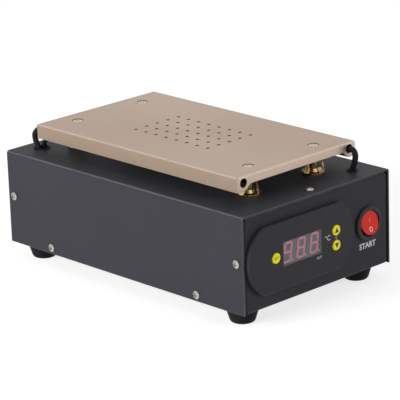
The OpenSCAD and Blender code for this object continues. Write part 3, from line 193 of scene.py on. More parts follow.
def powderCoat(name):  # fine orange peel, with a painted highlight along the sharp edges, on the round of the long bends and on the cover's cut ends
    recipe = Recipe(name, Specular_IOR_Level=powder["shine"])
    peel = recipe.noise(powder["peel"], 3)
    cloud = recipe.noise(powder["cloud"], 4)
    speck = recipe.step(recipe.noise(powder["speckGrain"], 0), *powder["speckStep"])
    fold = recipe.edge(powder["fold"], *powder["foldStep"])
    fold *= recipe.step(recipe.noise(powder["foldGrain"], 3), *powder["foldPatch"])
    upward = recipe.axes(recipe.flat())[2]
    bend = recipe.between(upward, *powder["bend"], powder["bendSoft"])
    bend *= recipe.step(recipe.noise(powder["bendGrain"], 3), *powder["bendPatch"])
    along = recipe.size(recipe.axes(recipe.place)[1])
    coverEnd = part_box("cover")[1].y
    cut = recipe.step(along, *[coverEnd - depth for depth in powder["cut"]])
    base = recipe.drift(cloud, powder["colour"], *powder["range"])
    base = recipe.blend(speck * powder["speckShare"], base, shade(*powder["speck"]))
    # painted highlights: the sharp edges, the long bends and the cut ends blended towards a pale colour
    for highlightMask, share in ((fold, "foldShare"), (bend, "bendShare"), (cut, "cutShare")):
        base = recipe.blend(highlightMask * powder[share], base, shade(*powder["paintedHighlight"]))
    roughness = powder["rough"] + powder["vary"][0] * (cloud - 0.5) + powder["vary"][1] * peel
    return recipe.finish(base, roughness, recipe.bump(peel, powder["depth"], recipe.rounded(powder["edge"])))


anodised = {
    "colour": (0.432, 0.316, 0.238), "range": (0.88, 1.12), "rough": 0.36, "vary": (0.12, 0.06),
    "streak": 0.35 * mm, "streakLength": 90, "streakShare": 0.6, "band": 4 * mm, "bandLength": 40,
    "stretchedShine": 0.35, "depth": 0.012 * mm, "edge": 0.4 * mm,
    "cloud": 45 * mm, "cloudTone": (0.44, 0.33, 0.265), "cloudShare": 0.25,
    "pit": (0.26, 0.2, 0.15), "pitGrain": 0.5 * mm, "pitStep": (0.7, 0.78), "pitShare": 0.2,
    "facing": (0.9, 0.98),  # how squarely a face looks along an axis
    "paintedEndLight": (0.58, 0.455, 0.37), "paintedEndLightShare": 0.75,  # painted light: the two ends paler
    "paintedFlankShade": (0.355, 0.272, 0.205), "paintedFlankShadeShare": 0.5,  # painted shade: the two long sides darker
    "paintedBoreShade": (0.02, 0.016, 0.014), "paintedBoreShadeShare": 0.97, "inside": (54 * mm, 97 * mm), "soft": 0.2 * mm,
    "boreShadeFrom": (90.4 * mm, 90.5 * mm), "boreShadeTo": (95.8 * mm, 96 * mm),  # painted shade on the walls of the holes and bores
    "rim": (0.98, 0.9, 0.8), "rimHighlightShare": 0.75, "rimEdge": 1.1 * mm, "rimStep": (0.006, 0.07),
    "rimLevel": (94 * mm, 95 * mm, 0.4, 1),  # painted highlight: the bright line round the plate's outer edges
}


def brushedPlate(name):  # champagne anodised profile, with die lines along its length, painted light and shade by which way a face looks, painted shade in the holes and bores and a painted highlight round the outer edges
    recipe = Recipe(name, Metallic=1.0, Anisotropic=anodised["stretchedShine"])
    fine = recipe.noise(anodised["streak"], 3, (1, anodised["streakLength"], 1))
    broad = recipe.noise(anodised["band"], 3, (1, anodised["bandLength"], 1))
    cloud = recipe.noise(anodised["cloud"], 3)
    pit = recipe.step(recipe.noise(anodised["pitGrain"], 1), *anodised["pitStep"])
    line = anodised["streakShare"] * fine + (1 - anodised["streakShare"]) * broad
    base = recipe.drift(line, anodised["colour"], *anodised["range"])
    base = recipe.blend(cloud * anodised["cloudShare"], base, shade(*anodised["cloudTone"]))
    base = recipe.blend(pit * anodised["pitShare"], base, shade(*anodised["pit"]))
    facing = [recipe.step(recipe.size(axis), *anodised["facing"]) for axis in recipe.axes(recipe.flat())[:2]]
    # painted light and shade by which way a face looks: the ends paler, the long sides darker
    base = recipe.blend(facing[1] * anodised["paintedEndLightShare"], base, shade(*anodised["paintedEndLight"]))
    base = recipe.blend(facing[0] * anodised["paintedFlankShadeShare"], base, shade(*anodised["paintedFlankShade"]))

    across, along, level = recipe.axes(recipe.place)
    across = recipe.size(across)
    along = recipe.size(along)
    sideLimit, endLimit = anodised["inside"]
    soft = anodised["soft"]
    # painted shade: the walls of the holes and bores made dark
    paintedBoreShade = recipe.step(level, *anodised["boreShadeFrom"]) * recipe.step(level, *anodised["boreShadeTo"], 1, 0)
    paintedBoreShade *= recipe.step(across, sideLimit, sideLimit + soft, 1, 0)
    paintedBoreShade *= recipe.step(along, endLimit, endLimit + soft, 1, 0)
    base = recipe.blend(paintedBoreShade * anodised["paintedBoreShadeShare"], base, shade(*anodised["paintedBoreShade"]))

    atSide = recipe.step(across, sideLimit, sideLimit + soft)
    atEnd = recipe.step(along, endLimit - mm, endLimit)
    outer = (atSide + atEnd - 2 * atSide * atEnd) * recipe.step(level, *anodised["rimLevel"])  # not the corners
    # painted highlight along the plate's outer edges
    rim = recipe.edge(anodised["rimEdge"], *anodised["rimStep"]) * outer
    base = recipe.blend(rim * anodised["rimHighlightShare"], base, shade(*anodised["rim"]))
    roughness = anodised["rough"] + anodised["vary"][0] * (fine - 0.5) + anodised["vary"][1] * cloud
    return recipe.finish(base, roughness, recipe.bump(line, anodised["depth"], recipe.rounded(anodised["edge"])))


zinc = {
    "hues": [(0.36, (0.76, 0.32, 0.33)), (0.46, (0.72, 0.52, 0.22)), (0.53, (0.56, 0.66, 0.18)),
             (0.62, (0.874, 0.368, 0.3795))],  # rose, gold, green and a lighter rose
    "patch": 2.4 * mm, "rough": 0.12, "vary": 0.14,
    "stain": (0.16, 0.10, 0.04), "stainGrain": 1.1 * mm, "stainStep": (0.55, 0.75), "stainShare": 0.6,
    "scratch": 0.25 * mm, "depth": 0.02 * mm, "edge": 0.25 * mm,
}


def yellowZinc(name):  # passivated plating that drifts from gold to green and rose
    recipe = Recipe(name, Metallic=1.0)
    patch = recipe.noise(zinc["patch"], 3)
    stops = [(place, shade(*tone)) for place, tone in zinc["hues"]]
    hue = recipe.node("ShaderNodeValToRGB", {"stops": stops}, {0: patch})
    stain = recipe.step(recipe.noise(zinc["stainGrain"], 2), *zinc["stainStep"])
    base = recipe.blend(stain * zinc["stainShare"], hue, shade(*zinc["stain"]))
    scratch = recipe.noise(zinc["scratch"], 2, (1, 1, 8))
    normal = recipe.bump(scratch, zinc["depth"], recipe.rounded(zinc["edge"]))
    return recipe.finish(base, zinc["rough"] + zinc["vary"] * patch, normal)


nickel = {
    "dull": (0.40, 0.38, 0.355), "clean": (0.58, 0.56, 0.52), "patch": 1.5 * mm, "rough": 0.2, "vary": 0.16,
    "scratch": 0.12 * mm, "depth": 0.012 * mm, "edge": 0.2 * mm,
    "sunkAt": (30.5 * mm, 83 * mm), "sunkFrom": (90 * mm, 91 * mm),  # the screws in the plate
    "sunkHeadHighlight": (0.82, 0.8, 0.74), "countersinkShade": (0.46, 0.31, 0.11), "rimFrom": (2.2 * mm, 2.6 * mm),
}


def nickelPlate(name):  # bright plating on the pressed heads; those in the plate are painted paler as a painted highlight, with a painted gold-brown countersink shade at the rim
    recipe = Recipe(name, Metallic=1.0)
    cloud = recipe.noise(nickel["patch"], 3)
    scratch = recipe.noise(nickel["scratch"], 2, (6, 1, 6))
    base = recipe.blend(cloud, shade(*nickel["dull"]), shade(*nickel["clean"]))
    across, along, level = recipe.axes(recipe.place)
    beside = recipe.size(across) - nickel["sunkAt"][0]
    beyond = recipe.size(along) - nickel["sunkAt"][1]
    rim = recipe.step(recipe.maths("SQRT", beside * beside + beyond * beyond), *nickel["rimFrom"])
    sunk = recipe.blend(rim, shade(*nickel["sunkHeadHighlight"]), shade(*nickel["countersinkShade"]))
    # the heads in the plate: a painted highlight in the middle and a painted countersink shade at the rim
    base = recipe.blend(recipe.step(level, *nickel["sunkFrom"]), base, sunk)
    normal = recipe.bump(scratch, nickel["depth"], recipe.rounded(nickel["edge"]))
    return recipe.finish(base, nickel["rough"] + nickel["vary"] * cloud, normal)


steel = {
    "range": (0.85, 1.12), "lay": 0.3 * mm, "cloud": 8 * mm, "depth": 0.02 * mm, "edge": 0.3 * mm,
    "rough": 0.3, "vary": 0.2,
}


def plainSteel(name, colour, run=(1, 8, 1)):  # rolled or ground metal inside, with its lay along run
    recipe = Recipe(name, Metallic=1.0)
    lay = recipe.noise(steel["lay"], 3, run)
    cloud = recipe.noise(steel["cloud"], 3)
    base = recipe.drift(0.5 * lay + 0.5 * cloud, colour, *steel["range"])
    normal = recipe.bump(lay, steel["depth"], recipe.rounded(steel["edge"]))
    return recipe.finish(base, steel["rough"] + steel["vary"] * cloud, normal)


rubber = {
    "colour": (0.007, 0.007, 0.009), "bloom": (0.022, 0.022, 0.025), "bloomGrain": 6 * mm,
    "bloomStep": (0.45, 0.75), "bloomShare": 0.5, "shine": 0.12, "rough": 0.55, "vary": 0.25,
    "grain": 0.25 * mm, "depth": 0.03 * mm, "edge": 0.4 * mm,
}


def mouldedRubber(name, colour=rubber["colour"], bloom=rubber["bloom"]):  # dull, with a dusty bloom
    recipe = Recipe(name, Specular_IOR_Level=rubber["shine"])
    patch = recipe.step(recipe.noise(rubber["bloomGrain"], 5), *rubber["bloomStep"])
    grain = recipe.noise(rubber["grain"], 2)
    base = recipe.blend(patch * rubber["bloomShare"], shade(*colour), shade(*bloom))
    normal = recipe.bump(grain, rubber["depth"], recipe.rounded(rubber["edge"]))
    return recipe.finish(base, rubber["rough"] + rubber["vary"] * grain, normal)


moulding = {
    "range": (0.9, 1.1), "cloud": 14 * mm, "wear": (0.4, 0.4, 0.4), "wearAndHighlightEdge": 0.35 * mm, "wearShare": 0.18,
    "vary": (0.1, 0.06), "edge": 0.3 * mm,
}


def mouldedPlastic(name, colour, rough=0.35, grain=0.3 * mm, depth=0.012 * mm, **fixed):
    recipe = Recipe(name, **fixed)
    texture = recipe.noise(grain, 2)
    cloud = recipe.noise(moulding["cloud"], 3)
    base = recipe.drift(cloud, colour, *moulding["range"])
    # paler edges: partly wear, partly a painted highlight
    base = recipe.blend(recipe.edge(moulding["wearAndHighlightEdge"]) * moulding["wearShare"], base, shade(*moulding["wear"]))
    roughness = rough + moulding["vary"][0] * (cloud - 0.5) + moulding["vary"][1] * texture
    return recipe.finish(base, roughness, recipe.bump(texture, depth, recipe.rounded(moulding["edge"])))


glaze = {
    "body": (0.80, 0.76, 0.68), "milky": (0.88, 0.85, 0.79), "cloud": 3 * mm,
    "speck": (0.5, 0.44, 0.36), "speckGrain": 0.4 * mm, "speckStep": (0.62, 0.75), "speckShare": 0.3,
    "depth": 0.03 * mm, "edge": 0.2 * mm, "rough": 0.3, "vary": 0.2,
}


def glazedCeramic(name):
    recipe = Recipe(name, Coat_Weight=0.5, Coat_Roughness=0.1)
    speck = recipe.step(recipe.noise(glaze["speckGrain"], 2), *glaze["speckStep"])
    cloud = recipe.noise(glaze["cloud"], 3)
    base = recipe.blend(cloud, shade(*glaze["body"]), shade(*glaze["milky"]))
    base = recipe.blend(speck * glaze["speckShare"], base, shade(*glaze["speck"]))
    normal = recipe.bump(cloud, glaze["depth"], recipe.rounded(glaze["edge"]))
    return recipe.finish(base, glaze["rough"] + glaze["vary"] * cloud, normal)


sleeve = {
    "colour": (0.004, 0.004, 0.005), "strand": (0.022, 0.023, 0.026), "strandStep": (0.1, 0.9), "strandShare": 0.5,
    "pitch": 1.3, "around": 12, "depth": 0.05 * mm, "fray": 0.3 * mm, "frayShare": 0.2,
    "shine": 0.15, "rough": 0.42, "vary": 0.15,
}


def braidedSleeve(name):  # two sets of strands that cross, along the map that leadTube lays on
    recipe = Recipe(name, Specular_IOR_Level=sleeve["shine"])
    along, around, _ = recipe.axes(recipe.node("ShaderNodeUVMap", {"uv_map": "sleeve"}))
    waves = []
    for turn in (1, -1):
        phase = along * (2 * math.pi / sleeve["pitch"]) + around * (turn * sleeve["around"] * 2 * math.pi)
        waves.append(recipe.maths("SINE", phase))
    weave = recipe.maths("MAXIMUM", *waves)
    fray = recipe.noise(sleeve["fray"], 2)
    lift = recipe.step(weave, *sleeve["strandStep"]) * sleeve["strandShare"] + sleeve["frayShare"] * fray
    base = recipe.blend(lift, shade(*sleeve["colour"]), shade(*sleeve["strand"]))
    return recipe.finish(base, sleeve["rough"] + sleeve["vary"] * fray, recipe.bump(weave, sleeve["depth"]))


hose = {
    "colour": (0.7, 0.72, 0.7), "range": (0.9, 1.08), "cloud": 4 * mm, "depth": 0.05 * mm,
    "rough": 0.35, "vary": 0.15,
}


def softHose(name):  # milky silicone
    recipe = Recipe(name, Transmission_Weight=0.25, Coat_Weight=0.2)
    cloud = recipe.noise(hose["cloud"], 3)
    base = recipe.drift(cloud, hose["colour"], *hose["range"])
    return recipe.finish(base, hose["rough"] + hose["vary"] * cloud, recipe.bump(cloud, hose["depth"]))


pane = {
    "range": (0.94, 1.06), "vary": 0.08, "cloud": 5 * mm, "smear": 2 * mm, "depth": 0.004 * mm, "edge": 0.2 * mm,
}


def clearPart(name, colour, alpha, rough):
    recipe = Recipe(name, Alpha=alpha)
    cloud = recipe.noise(pane["cloud"], 2)
    smear = recipe.noise(pane["smear"], 4, (1, 1, 3))
    base = recipe.drift(cloud, colour, *pane["range"])
    normal = recipe.bump(smear, pane["depth"], recipe.rounded(pane["edge"]))
    return recipe.finish(base, rough + pane["vary"] * smear, normal)


bars = {
    "pitch": 12.2 * mm, "half": (3.05 * mm, 6.25 * mm), "lean": 0.1405,  # the slanted box round a digit
    "core": (0.5 * mm, 0.85 * mm), "rest": 0.12,  # the bright middle of a bar, and what is left of it outside
    "first": -12.2 * mm, "offAcross": (-5.2 * mm, -2.45 * mm), "offUp": (-5.75 * mm, -0.55 * mm),
    "soft": 0.05 * mm, "edge": 0.1 * mm, "glow": 1.2 * mm, "strength": 0.95, "rough": 0.4, "vary": 0.1,
    "body": ((0.60, 0.08, 0.10), (0.78, 0.16, 0.18)), "light": ((0.80, 0.10, 0.12), (0.95, 0.24, 0.26)),
    "unlit": (0.24, 0.25, 0.27),
}


def litSegments(name):  # a lit bar is bright along its middle, and the first digit's lower left bar is off
    recipe = Recipe(name, Emission_Strength=bars["strength"])
    glow = recipe.noise(bars["glow"], 1)
    centre = middle("display_window")
    spot = recipe.axes(recipe.place)
    across = spot[0] - centre.x
    up = spot[2] - centre.z
    off = recipe.between(across - bars["first"], *bars["offAcross"], bars["soft"])
    off *= recipe.between(up, *bars["offUp"], bars["soft"])

    inDigit = recipe.maths("WRAP", across - up * bars["lean"], bars["pitch"] / 2, -bars["pitch"] / 2)
    fromUpright = recipe.size(recipe.size(inDigit) - bars["half"][0])
    rise = recipe.size(up)
    fromLevel = recipe.maths("MINIMUM", rise, recipe.size(rise - bars["half"][1]))
    lit = (1 - off) * recipe.step(recipe.maths("MINIMUM", fromUpright, fromLevel), *bars["core"], 1, bars["rest"])
    dark = 1 - lit

    body = recipe.blend(dark, recipe.blend(glow, *[shade(*tone) for tone in bars["body"]]), shade(*bars["unlit"]))
    light = recipe.blend(dark, recipe.blend(glow, *[shade(*tone) for tone in bars["light"]]), shade(0, 0, 0))
    roughness = bars["rough"] + bars["vary"] * glow
    return recipe.finish(body, roughness, recipe.rounded(bars["edge"]), Emission_Color=light)


board = {
    "mask": (0.025, 0.16, 0.07), "track": (0.05, 0.3, 0.13), "cells": 260.0, "trackStep": (0.02, 0.06),
    "cloud": 5 * mm, "depth": 0.03 * mm, "rough": 0.35, "vary": 0.15,
}


def circuitBoard(name):  # solder mask with paler tracks under it
    recipe = Recipe(name, Coat_Weight=0.3, Coat_Roughness=0.25)
    cells = recipe.node("ShaderNodeTexVoronoi", {"feature": "DISTANCE_TO_EDGE"},
                        {"Vector": recipe.place, "Scale": board["cells"]}, output="Distance")
    track = 1 - recipe.step(cells, *board["trackStep"])
    cloud = recipe.noise(board["cloud"], 2)
    base = recipe.blend(track, shade(*board["mask"]), shade(*board["track"]))
    return recipe.finish(base, board["rough"] + board["vary"] * cloud, recipe.bump(track, board["depth"]))


core = {
    "seam": (0.16, 0.11, 0.06), "sheet": (0.34, 0.27, 0.16), "sheets": 0.5 * mm, "sheetShare": 0.6,
    "drip": 6 * mm, "depth": 0.12 * mm, "edge": 0.3 * mm, "rough": 0.4, "vary": 0.2,
}


def laminatedIron(name):  # stacked sheets under varnish
    recipe = Recipe(name, Metallic=0.4, Coat_Weight=0.4, Coat_Roughness=0.2)
    sheets = recipe.noise(core["sheets"], 1, (60, 1, 60))
    drip = recipe.noise(core["drip"], 3)
    layers = core["sheetShare"] * sheets + (1 - core["sheetShare"]) * drip
    base = recipe.blend(layers, shade(*core["seam"]), shade(*core["sheet"]))
    normal = recipe.bump(sheets, core["depth"], recipe.rounded(core["edge"]))
    return recipe.finish(base, core["rough"] + core["vary"] * drip, normal)


ink = {
    "wear": 0.5 * mm, "wearStep": (0.55, 0.8), "wearShare": 0.3, "faded": 0.75, "depth": 0.005 * mm,
    "rough": 0.5, "vary": 0.1,
}


def printedInk(name, colour):  # a little thin in places
    recipe = Recipe(name)
    wear = recipe.step(recipe.noise(ink["wear"], 3), *ink["wearStep"])
    base = recipe.drift(wear * ink["wearShare"], colour, 1, ink["faded"])
    return recipe.finish(base, ink["rough"] + ink["vary"] * wear, recipe.bump(wear, ink["depth"]))


redPlastic = dict(colour=(0.80, 0.024, 0.016), rough=0.34, Coat_Weight=0.06, Coat_Roughness=0.2,
                  Specular_IOR_Level=0.22)
blackSatin = dict(colour=(0.030, 0.030, 0.036), rough=0.42, Specular_IOR_Level=0.15)
blackMatt = dict(colour=(0.021, 0.021, 0.026), rough=0.44, grain=0.22 * mm, depth=0.03 * mm,
                 Specular_IOR_Level=0.25)
yellowCap = dict(colour=(0.98, 0.88, 0.006), rough=0.34, Specular_IOR_Level=0.18, Emission_Strength=0.1,
                 Emission_Color=(0.98, 0.88, 0.006, 1))  # glows a little: painted light that makes the caps brighter

finishes = {  # the record's material slot, and the finish made for it
    "case_paint": powderCoat("casePowder"),
    "foot_rubber": mouldedRubber("footRubber"),
    "bright_screw": nickelPlate("screwNickel"),
    "plate_aluminium": brushedPlate("plateAnodised"),
    "yellow_zinc": yellowZinc("studZinc"),
    "spacer_ceramic": glazedCeramic("spacerGlaze"),
    "heater_steel": plainSteel("heaterSteel", (0.5, 0.49, 0.47)),
    "lead_sleeve": braidedSleeve("leadBraid"),
    "black_rubber": mouldedRubber("grommetRubber"),
    "box_aluminium": plainSteel("boxAluminium", (0.58, 0.59, 0.6), run=(8, 1, 1)),
    "red_silicone": mouldedRubber("gasketSilicone", (0.42, 0.05, 0.03), bloom=(0.5, 0.12, 0.09)),
    "brass": plainSteel("turnedBrass", (0.68, 0.5, 0.2)),
    "hose_silicone": softHose("hoseSilicone"),
    "motor_steel": plainSteel("motorSteel", (0.55, 0.55, 0.54), run=(1, 12, 1)),
    "dark_plastic": mouldedPlastic("darkMoulding", **blackMatt),
    "bezel_plastic": mouldedPlastic("bezelMoulding", **blackSatin),
    "window_plastic": clearPart("windowPane", (0.20, 0.24, 0.27), alpha=0.42, rough=0.2),
    "module_plastic": mouldedPlastic("moduleMoulding", (0.22, 0.25, 0.28), rough=0.3),
    "digit_red": litSegments("litDigits"),
    "button_yellow": mouldedPlastic("buttonMoulding", **yellowCap),
    "lamp_blue": clearPart("lampLens", (0.34, 0.33, 0.42), alpha=0.9, rough=0.16),
    "board_green": circuitBoard("circuitBoard"),
    "rocker_red": mouldedPlastic("rockerMoulding", **redPlastic),
    "tinned_blade": plainSteel("tinnedBlade", (0.68, 0.66, 0.6)),
    "fuse_glass": clearPart("fuseTube", (0.75, 0.78, 0.78), alpha=0.35, rough=0.04),
    "cable_black": mouldedRubber("cableSheath"),
    "cable_red": mouldedRubber("pumpWire", (0.4, 0.02, 0.015), bloom=(0.45, 0.08, 0.06)),
    "transformer_iron": laminatedIron("coreIron"),
    "capacitor_sleeve": mouldedPlastic("capacitorSleeve", (0.03, 0.06, 0.2), rough=0.28),
    "terminal_green": mouldedPlastic("terminalMoulding", (0.05, 0.3, 0.12), rough=0.4),
}
printFinish = printedInk("printWhite", (0.78, 0.78, 0.78))
darkPrintFinish = printedInk("printDark", (0.02, 0.02, 0.02))
wornPrintFinish = printedInk("printWorn", (0.62, 0.28, 0.26))


def dressNodes():  # a carried-over node's material has the name of the slot that the CAD gave it
    for piece in cadNodes.values():
        for place in piece.material_slots:
            place.material = finishes[place.material.name.split(".")[0]]
    print("finishes:", len(finishes), "on the CAD pieces")


dressNodes()


def closedMesh(name, form):  # the mesh of a finished form, with its faces turned outwards
    bmesh.ops.recalc_face_normals(form, faces=form.faces)
    mesh = bpy.data.meshes.new(name)
    form.to_mesh(mesh)
    form.free()
    return mesh


def addPiece(name, data, finish):
    piece = bpy.data.objects.new(name, data)
    bpy.context.scene.collection.objects.link(piece)
    data.materials.append(finish)
    return piece


# The three leads at the plate's ends, as routes in mm
leads = {
    "frontHeaterLead": {"node": "heater_lead_front", "across": 4.0, "route": [
        (49.4, -91.5, 91.6), (49.4, -97.5, 91.6), (49.4, -100.6, 91.5), (49.4, -102.5, 90), (49.4, -103.1, 87.2),
        (49.4, -102.4, 83.6), (49.4, -101.1, 80), (49.4, -100.2, 77), (49.4, -99.9, 74), (48, -98, 66),
        (38, -94, 58), (20, -93, 48), (0, -92, 36), (-18, -88, 27), (-26, -82, 24), (-26, -76, 24)]},
    "rearHeaterLead": {"node": "heater_lead_rear", "across": 4.0, "route": [
        (-49.4, 91.5, 91.6), (-49.4, 97.5, 91.6), (-49.4, 101, 91), (-49.8, 104, 89.2), (-50.4, 105.8, 86.3),
        (-50.8, 105.1, 82.8), (-51.1, 103, 79.6), (-51.1, 101.5, 77), (-51.1, 100.8, 74.4), (-51.1, 97, 66),
        (-51, 84, 48), (-49, 66, 34), (-47, 44, 26), (-47, 33, 24), (-47, 24, 24)]},
    "sensorLead": {"node": "sensor_lead", "across": 3.2, "route": [
        (-39.6, 81, 88.1), (-39.6, 85.2, 88.1), (-41, 89.4, 86.4), (-44.2, 92.6, 84.7), (-47, 95.3, 84),
        (-48.5, 97.1, 83), (-48.6, 98.5, 81.1), (-47.7, 99.5, 79), (-46.8, 100.2, 77), (-46.4, 100.2, 74.6),
        (-46, 97, 67), (-43, 84, 50), (-37, 66, 35), (-33, 46, 26), (-33, 34, 24), (-33, 24, 24)]},
}


def smoothRoute(points, stepsEach=10):  # a curve through every point
    route = []
    padded = [2 * points[0] - points[1], *points, 2 * points[-1] - points[-2]]
    for i in range(1, len(padded) - 2):
        a, b, c, d = padded[i - 1:i + 3]
        for k in range(stepsEach):
            t = k / stepsEach
            route.append(0.5 * (2 * b + (c - a) * t + (2 * a - 5 * b + 4 * c - d) * t * t
                                + (3 * b - a - 3 * c + d) * t ** 3))
    return route + [points[-1]]


def leadTube(name, lead, sides=20):
    route = smoothRoute([Vector(point) * mm for point in lead["route"]])
    form = bmesh.new()
    rings = []
    run = [0.0]
    normal = Vector((1, 0, 0))
    for i, point in enumerate(route):
        ahead = (route[min(i + 1, len(route) - 1)] - route[max(i - 1, 0)]).normalized()
        normal = (normal - ahead * normal.dot(ahead)).normalized()
        side = ahead.cross(normal)
        if i:
            run.append(run[-1] + (point - route[i - 1]).length)
        ring = []
        for k in range(sides):
            angle = 2 * math.pi * k / sides
            out = normal * math.cos(angle) + side * math.sin(angle)
            ring.append(form.verts.new(point + out * lead["across"] / 2 * mm))
        rings.append(ring)
    chart = form.loops.layers.uv.new("sleeve")
    for i in range(len(rings) - 1):
        for k in range(sides):
            following = (k + 1) % sides
            face = form.faces.new((rings[i][k], rings[i][following], rings[i + 1][following], rings[i + 1][k]))
            face.smooth = True
            corners = ((i, k), (i, k + 1), (i + 1, k + 1), (i + 1, k))
            for loop, (along, around) in zip(face.loops, corners):
                loop[chart].uv = (run[along] / mm, around / sides)
    form.faces.new(rings[0][::-1])
    form.faces.new(rings[-1])
    piece = addPiece(name, closedMesh(name, form), finishes["lead_sleeve"])
    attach(piece, "case")
    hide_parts(lead["node"])


for leadName, leadParts in leads.items():
    leadTube(leadName, leadParts)
print("leads:", len(leads))

# Marks printed on the front, in mm, with the face that each is on
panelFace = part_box("base_tray")[0].y
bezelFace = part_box("controller_bezel")[0].y
letterLift = 0.04
shapeLift = 0.05
words = {
    "degreeMark": {"text": "°C", "height": 5.0, "spot": (5.6, 44.8), "face": bezelFace},
    "outMark": {"text": "OUT", "height": 2.2, "spot": (-2.5, 33.9), "face": bezelFace},
    "startMark": {"text": "START", "height": 5.4, "spot": (47.6, 28.6), "face": panelFace, "stroke": 0.14},
}


def printedWord(name, word, spot, body, finish):
    letters = bpy.data.curves.new(name, "FONT")
    letters.body = word["text"]
    letters.size = word["height"] * mm
    letters.align_x = "CENTER"
    letters.align_y = "CENTER"
    letters.extrude = letterLift * mm
    letters.offset = word.get("stroke", 0) * mm  # thickens the strokes
    piece = addPiece(name, letters, finish)
    piece.rotation_euler = (math.pi / 2, 0, 0)
    piece.location = spot
    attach(piece, body)


for wordName, word in words.items():
    wordSpot = (word["spot"][0] * mm, word["face"], word["spot"][1] * mm)
    printedWord(wordName, word, wordSpot, "case", printFinish)


def raisedShape(name, outline, body, seat, finish):  # a flat printed shape
    form = bmesh.new()
    front = [form.verts.new(seat @ (Vector((x, -shapeLift, z)) * mm)) for x, z in outline]
    back = [form.verts.new(seat @ (Vector((x, shapeLift, z)) * mm)) for x, z in outline]
    form.faces.new(front)
    form.faces.new(back[::-1])
    for i in range(len(outline)):
        j = (i + 1) % len(outline)
        form.faces.new((front[i], back[i], back[j], front[j]))
    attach(addPiece(name, closedMesh(name, form), finish), body)


# Marks on the three buttons
arrow = {"half": 1.85, "foot": -1.6, "tip": 2.2}
upOutline = [(-arrow["half"], arrow["foot"]), (arrow["half"], arrow["foot"]), (0, arrow["tip"])]
downOutline = [(x, -z) for x, z in upOutline[::-1]]
setWord = {"text": "SET", "height": 2.8}


def capCentre(node):
    centre = middle(node)
    return Vector((centre.x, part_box(node)[0].y, centre.z))


for markName, node, body, outline in (("upArrow", "button_up", "up_button", upOutline),
                                      ("downArrow", "button_down", "down_button", downOutline)):
    raisedShape(markName, outline, body, Matrix.Translation(capCentre(node)), darkPrintFinish)
printedWord("setMark", setWord, capCentre("button_set"), "set_button", darkPrintFinish)

# Marks on the rocker, each on its half of the shallow V, in mm
rockerJoint = next(joint for joint in frame["joints"] if joint["child"] == "rocker")
rocker = {
    "tilt": -10.0, "tip": 3.5, "valley": 2.7, "radius": 8.1,
    "bar": (0.3, 1.5), "barFromValley": 1.9,
    "ring": (1.5, 1.0), "ringStretch": 1.15, "ringFromValley": 4.4,
}


def rockerSeat(half, mark):  # half is 1 for the upper face and -1 for the lower, mark the way from the valley
    pivot = Matrix.Translation(rockerJoint["pos_m"])
    tilt = Matrix.Rotation(math.radians(rocker["tilt"]), 4, "X")
    rise = rocker["tip"] - rocker["valley"]
    slope = math.atan2(rise, rocker["radius"])
    depth = rocker["valley"] + rise * mark / rocker["radius"]
    seat = Matrix.Translation((0, -depth * mm, half * mark * mm))
    return pivot @ tilt @ seat @ Matrix.Rotation(half * slope, 4, "X")


def ringMark(name, seat, sides=32):
    outer, inner = rocker["ring"]
    form = bmesh.new()
    rings = []
    for radius, depth in ((outer, -shapeLift), (inner, -shapeLift), (inner, shapeLift), (outer, shapeLift)):
        ring = []
        for k in range(sides):
            angle = 2 * math.pi * k / sides
            corner = Vector((radius * math.cos(angle), depth, rocker["ringStretch"] * radius * math.sin(angle)))
            ring.append(form.verts.new(seat @ (corner * mm)))
        rings.append(ring)
    for i in range(4):
        first, second = rings[i], rings[(i + 1) % 4]
        for k in range(sides):
            following = (k + 1) % sides
            form.faces.new((first[k], first[following], second[following], second[k]))
    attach(addPiece(name, closedMesh(name, form), printFinish), "rocker")


barX, barZ = rocker["bar"]
barOutline = [(-barX, -barZ), (barX, -barZ), (barX, barZ), (-barX, barZ)]
raisedShape("onMark", barOutline, "rocker", rockerSeat(1, rocker["barFromValley"]), wornPrintFinish)
ringMark("offMark", rockerSeat(-1, rocker["ringFromValley"]))
print("marks on the panel, the buttons and the rocker")

# Studio: a pale floor, a white surround and three soft lamps, each with its spot, its size and its power
studio = {
    "surround": 0.3, "floor": (0.46, 0.46, 0.46), "floorGlow": 0.74, "floorRadius": 6.0,
    "paperGrain": 4 * mm, "paperRange": (0.99, 1.01), "paperRough": 0.9, "paperDepth": 0.02 * mm,
    "aim": (0, 0, 0.05),
    "lamps": {"leftLamp": ((-1.6, 0.25, 0.42), 1.2, 36.5), "topLamp": ((0.2, 0.5, 1.9), 1.6, 4),
              "frontLamp": ((1.3, -1.5, 0.35), 1.2, 17.5)},
}


def seenRay(graph):  # 1 where the camera, or a reflection or clear part, looks
    camera, glossy, clear = (graph.node("ShaderNodeLightPath", output=name)
                             for name in ("Is Camera Ray", "Is Glossy Ray", "Is Transmission Ray"))
    return camera + glossy + clear


def studioFloor():
    form = bmesh.new()
    bmesh.ops.create_circle(form, cap_ends=True, segments=96, radius=studio["floorRadius"])
    mesh = bpy.data.meshes.new("floor")
    form.to_mesh(mesh)
    form.free()
    floor = bpy.data.objects.new("floor", mesh)
    bpy.context.scene.collection.objects.link(floor)
    recipe = Recipe("floorPaper", Emission_Color=(1, 1, 1, 1), Specular_IOR_Level=0.0)
    grain = recipe.noise(studio["paperGrain"], 3)
    base = recipe.drift(grain, studio["floor"], *studio["paperRange"])
    glow = seenRay(recipe) * studio["floorGlow"]
    normal = recipe.bump(grain, studio["paperDepth"])
    mesh.materials.append(recipe.finish(base, studio["paperRough"], normal, Emission_Strength=glow))


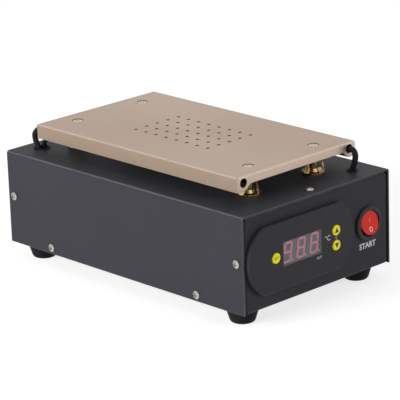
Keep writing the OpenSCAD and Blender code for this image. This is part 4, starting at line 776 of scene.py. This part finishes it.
def studioWorld():
    world = bpy.data.worlds.new("surround")
    bpy.context.scene.world = world
    graph = Graph(world)
    seen = graph.node("ShaderNodeClamp", None, {0: seenRay(graph)})
    strength = studio["surround"] + (1 - studio["surround"]) * seen
    background = graph.node("ShaderNodeBackground", None, {"Color": (1, 1, 1, 1), "Strength": strength})
    graph.node("ShaderNodeOutputWorld", None, {"Surface": background})


def softLamp(name, spot, size, power):
    lamp = bpy.data.lights.new(name, "AREA")
    lamp.shape = "DISK"
    lamp.size = size
    lamp.energy = power
    piece = bpy.data.objects.new(name, lamp)
    piece.location = spot
    piece.rotation_euler = (Vector(spot) - Vector(studio["aim"])).to_track_quat("Z", "Y").to_euler()
    piece.visible_glossy = False  # so that metal shows the white surround and no hot spot
    bpy.context.scene.collection.objects.link(piece)


studioFloor()
studioWorld()
for lampName, lampParts in studio["lamps"].items():
    softLamp(lampName, *lampParts)

# The photograph's viewpoint: angles in degrees, and lengths in mm from the case's near lower corner
view = {
    "around": -43.507, "above": 17.832, "roll": -1.941, "corner": (-69, -115, 11), "distance": 1511.7,
    "shiftRight": -28.32, "shiftUp": 74.16, "lens": 214.67, "sensor": 36, "clip": (0.05, 50),
}


def studioCamera():
    around, above, roll = (math.radians(view[key]) for key in ("around", "above", "roll"))
    back = Vector((math.sin(around) * math.cos(above), -math.cos(around) * math.cos(above), math.sin(above)))
    level = Vector((math.cos(around), math.sin(around), 0))
    upright = back.cross(level)
    right = math.cos(roll) * level + math.sin(roll) * upright
    up = math.cos(roll) * upright - math.sin(roll) * level
    spot = view["shiftRight"] * right + view["shiftUp"] * up + view["distance"] * back + Vector(view["corner"])
    lens = bpy.data.cameras.new("camera")
    lens.sensor_width = view["sensor"]
    lens.lens = view["lens"]
    lens.clip_start, lens.clip_end = view["clip"]
    camera = bpy.data.objects.new("camera", lens)
    camera.matrix_world = Matrix.Translation(spot * mm) @ Matrix((right, up, back)).transposed().to_4x4()
    bpy.context.scene.collection.objects.link(camera)
    bpy.context.scene.camera = camera


studioCamera()
bpy.context.scene.view_settings.view_transform = "Standard"
print("studio: floor, surround, lamps and camera")
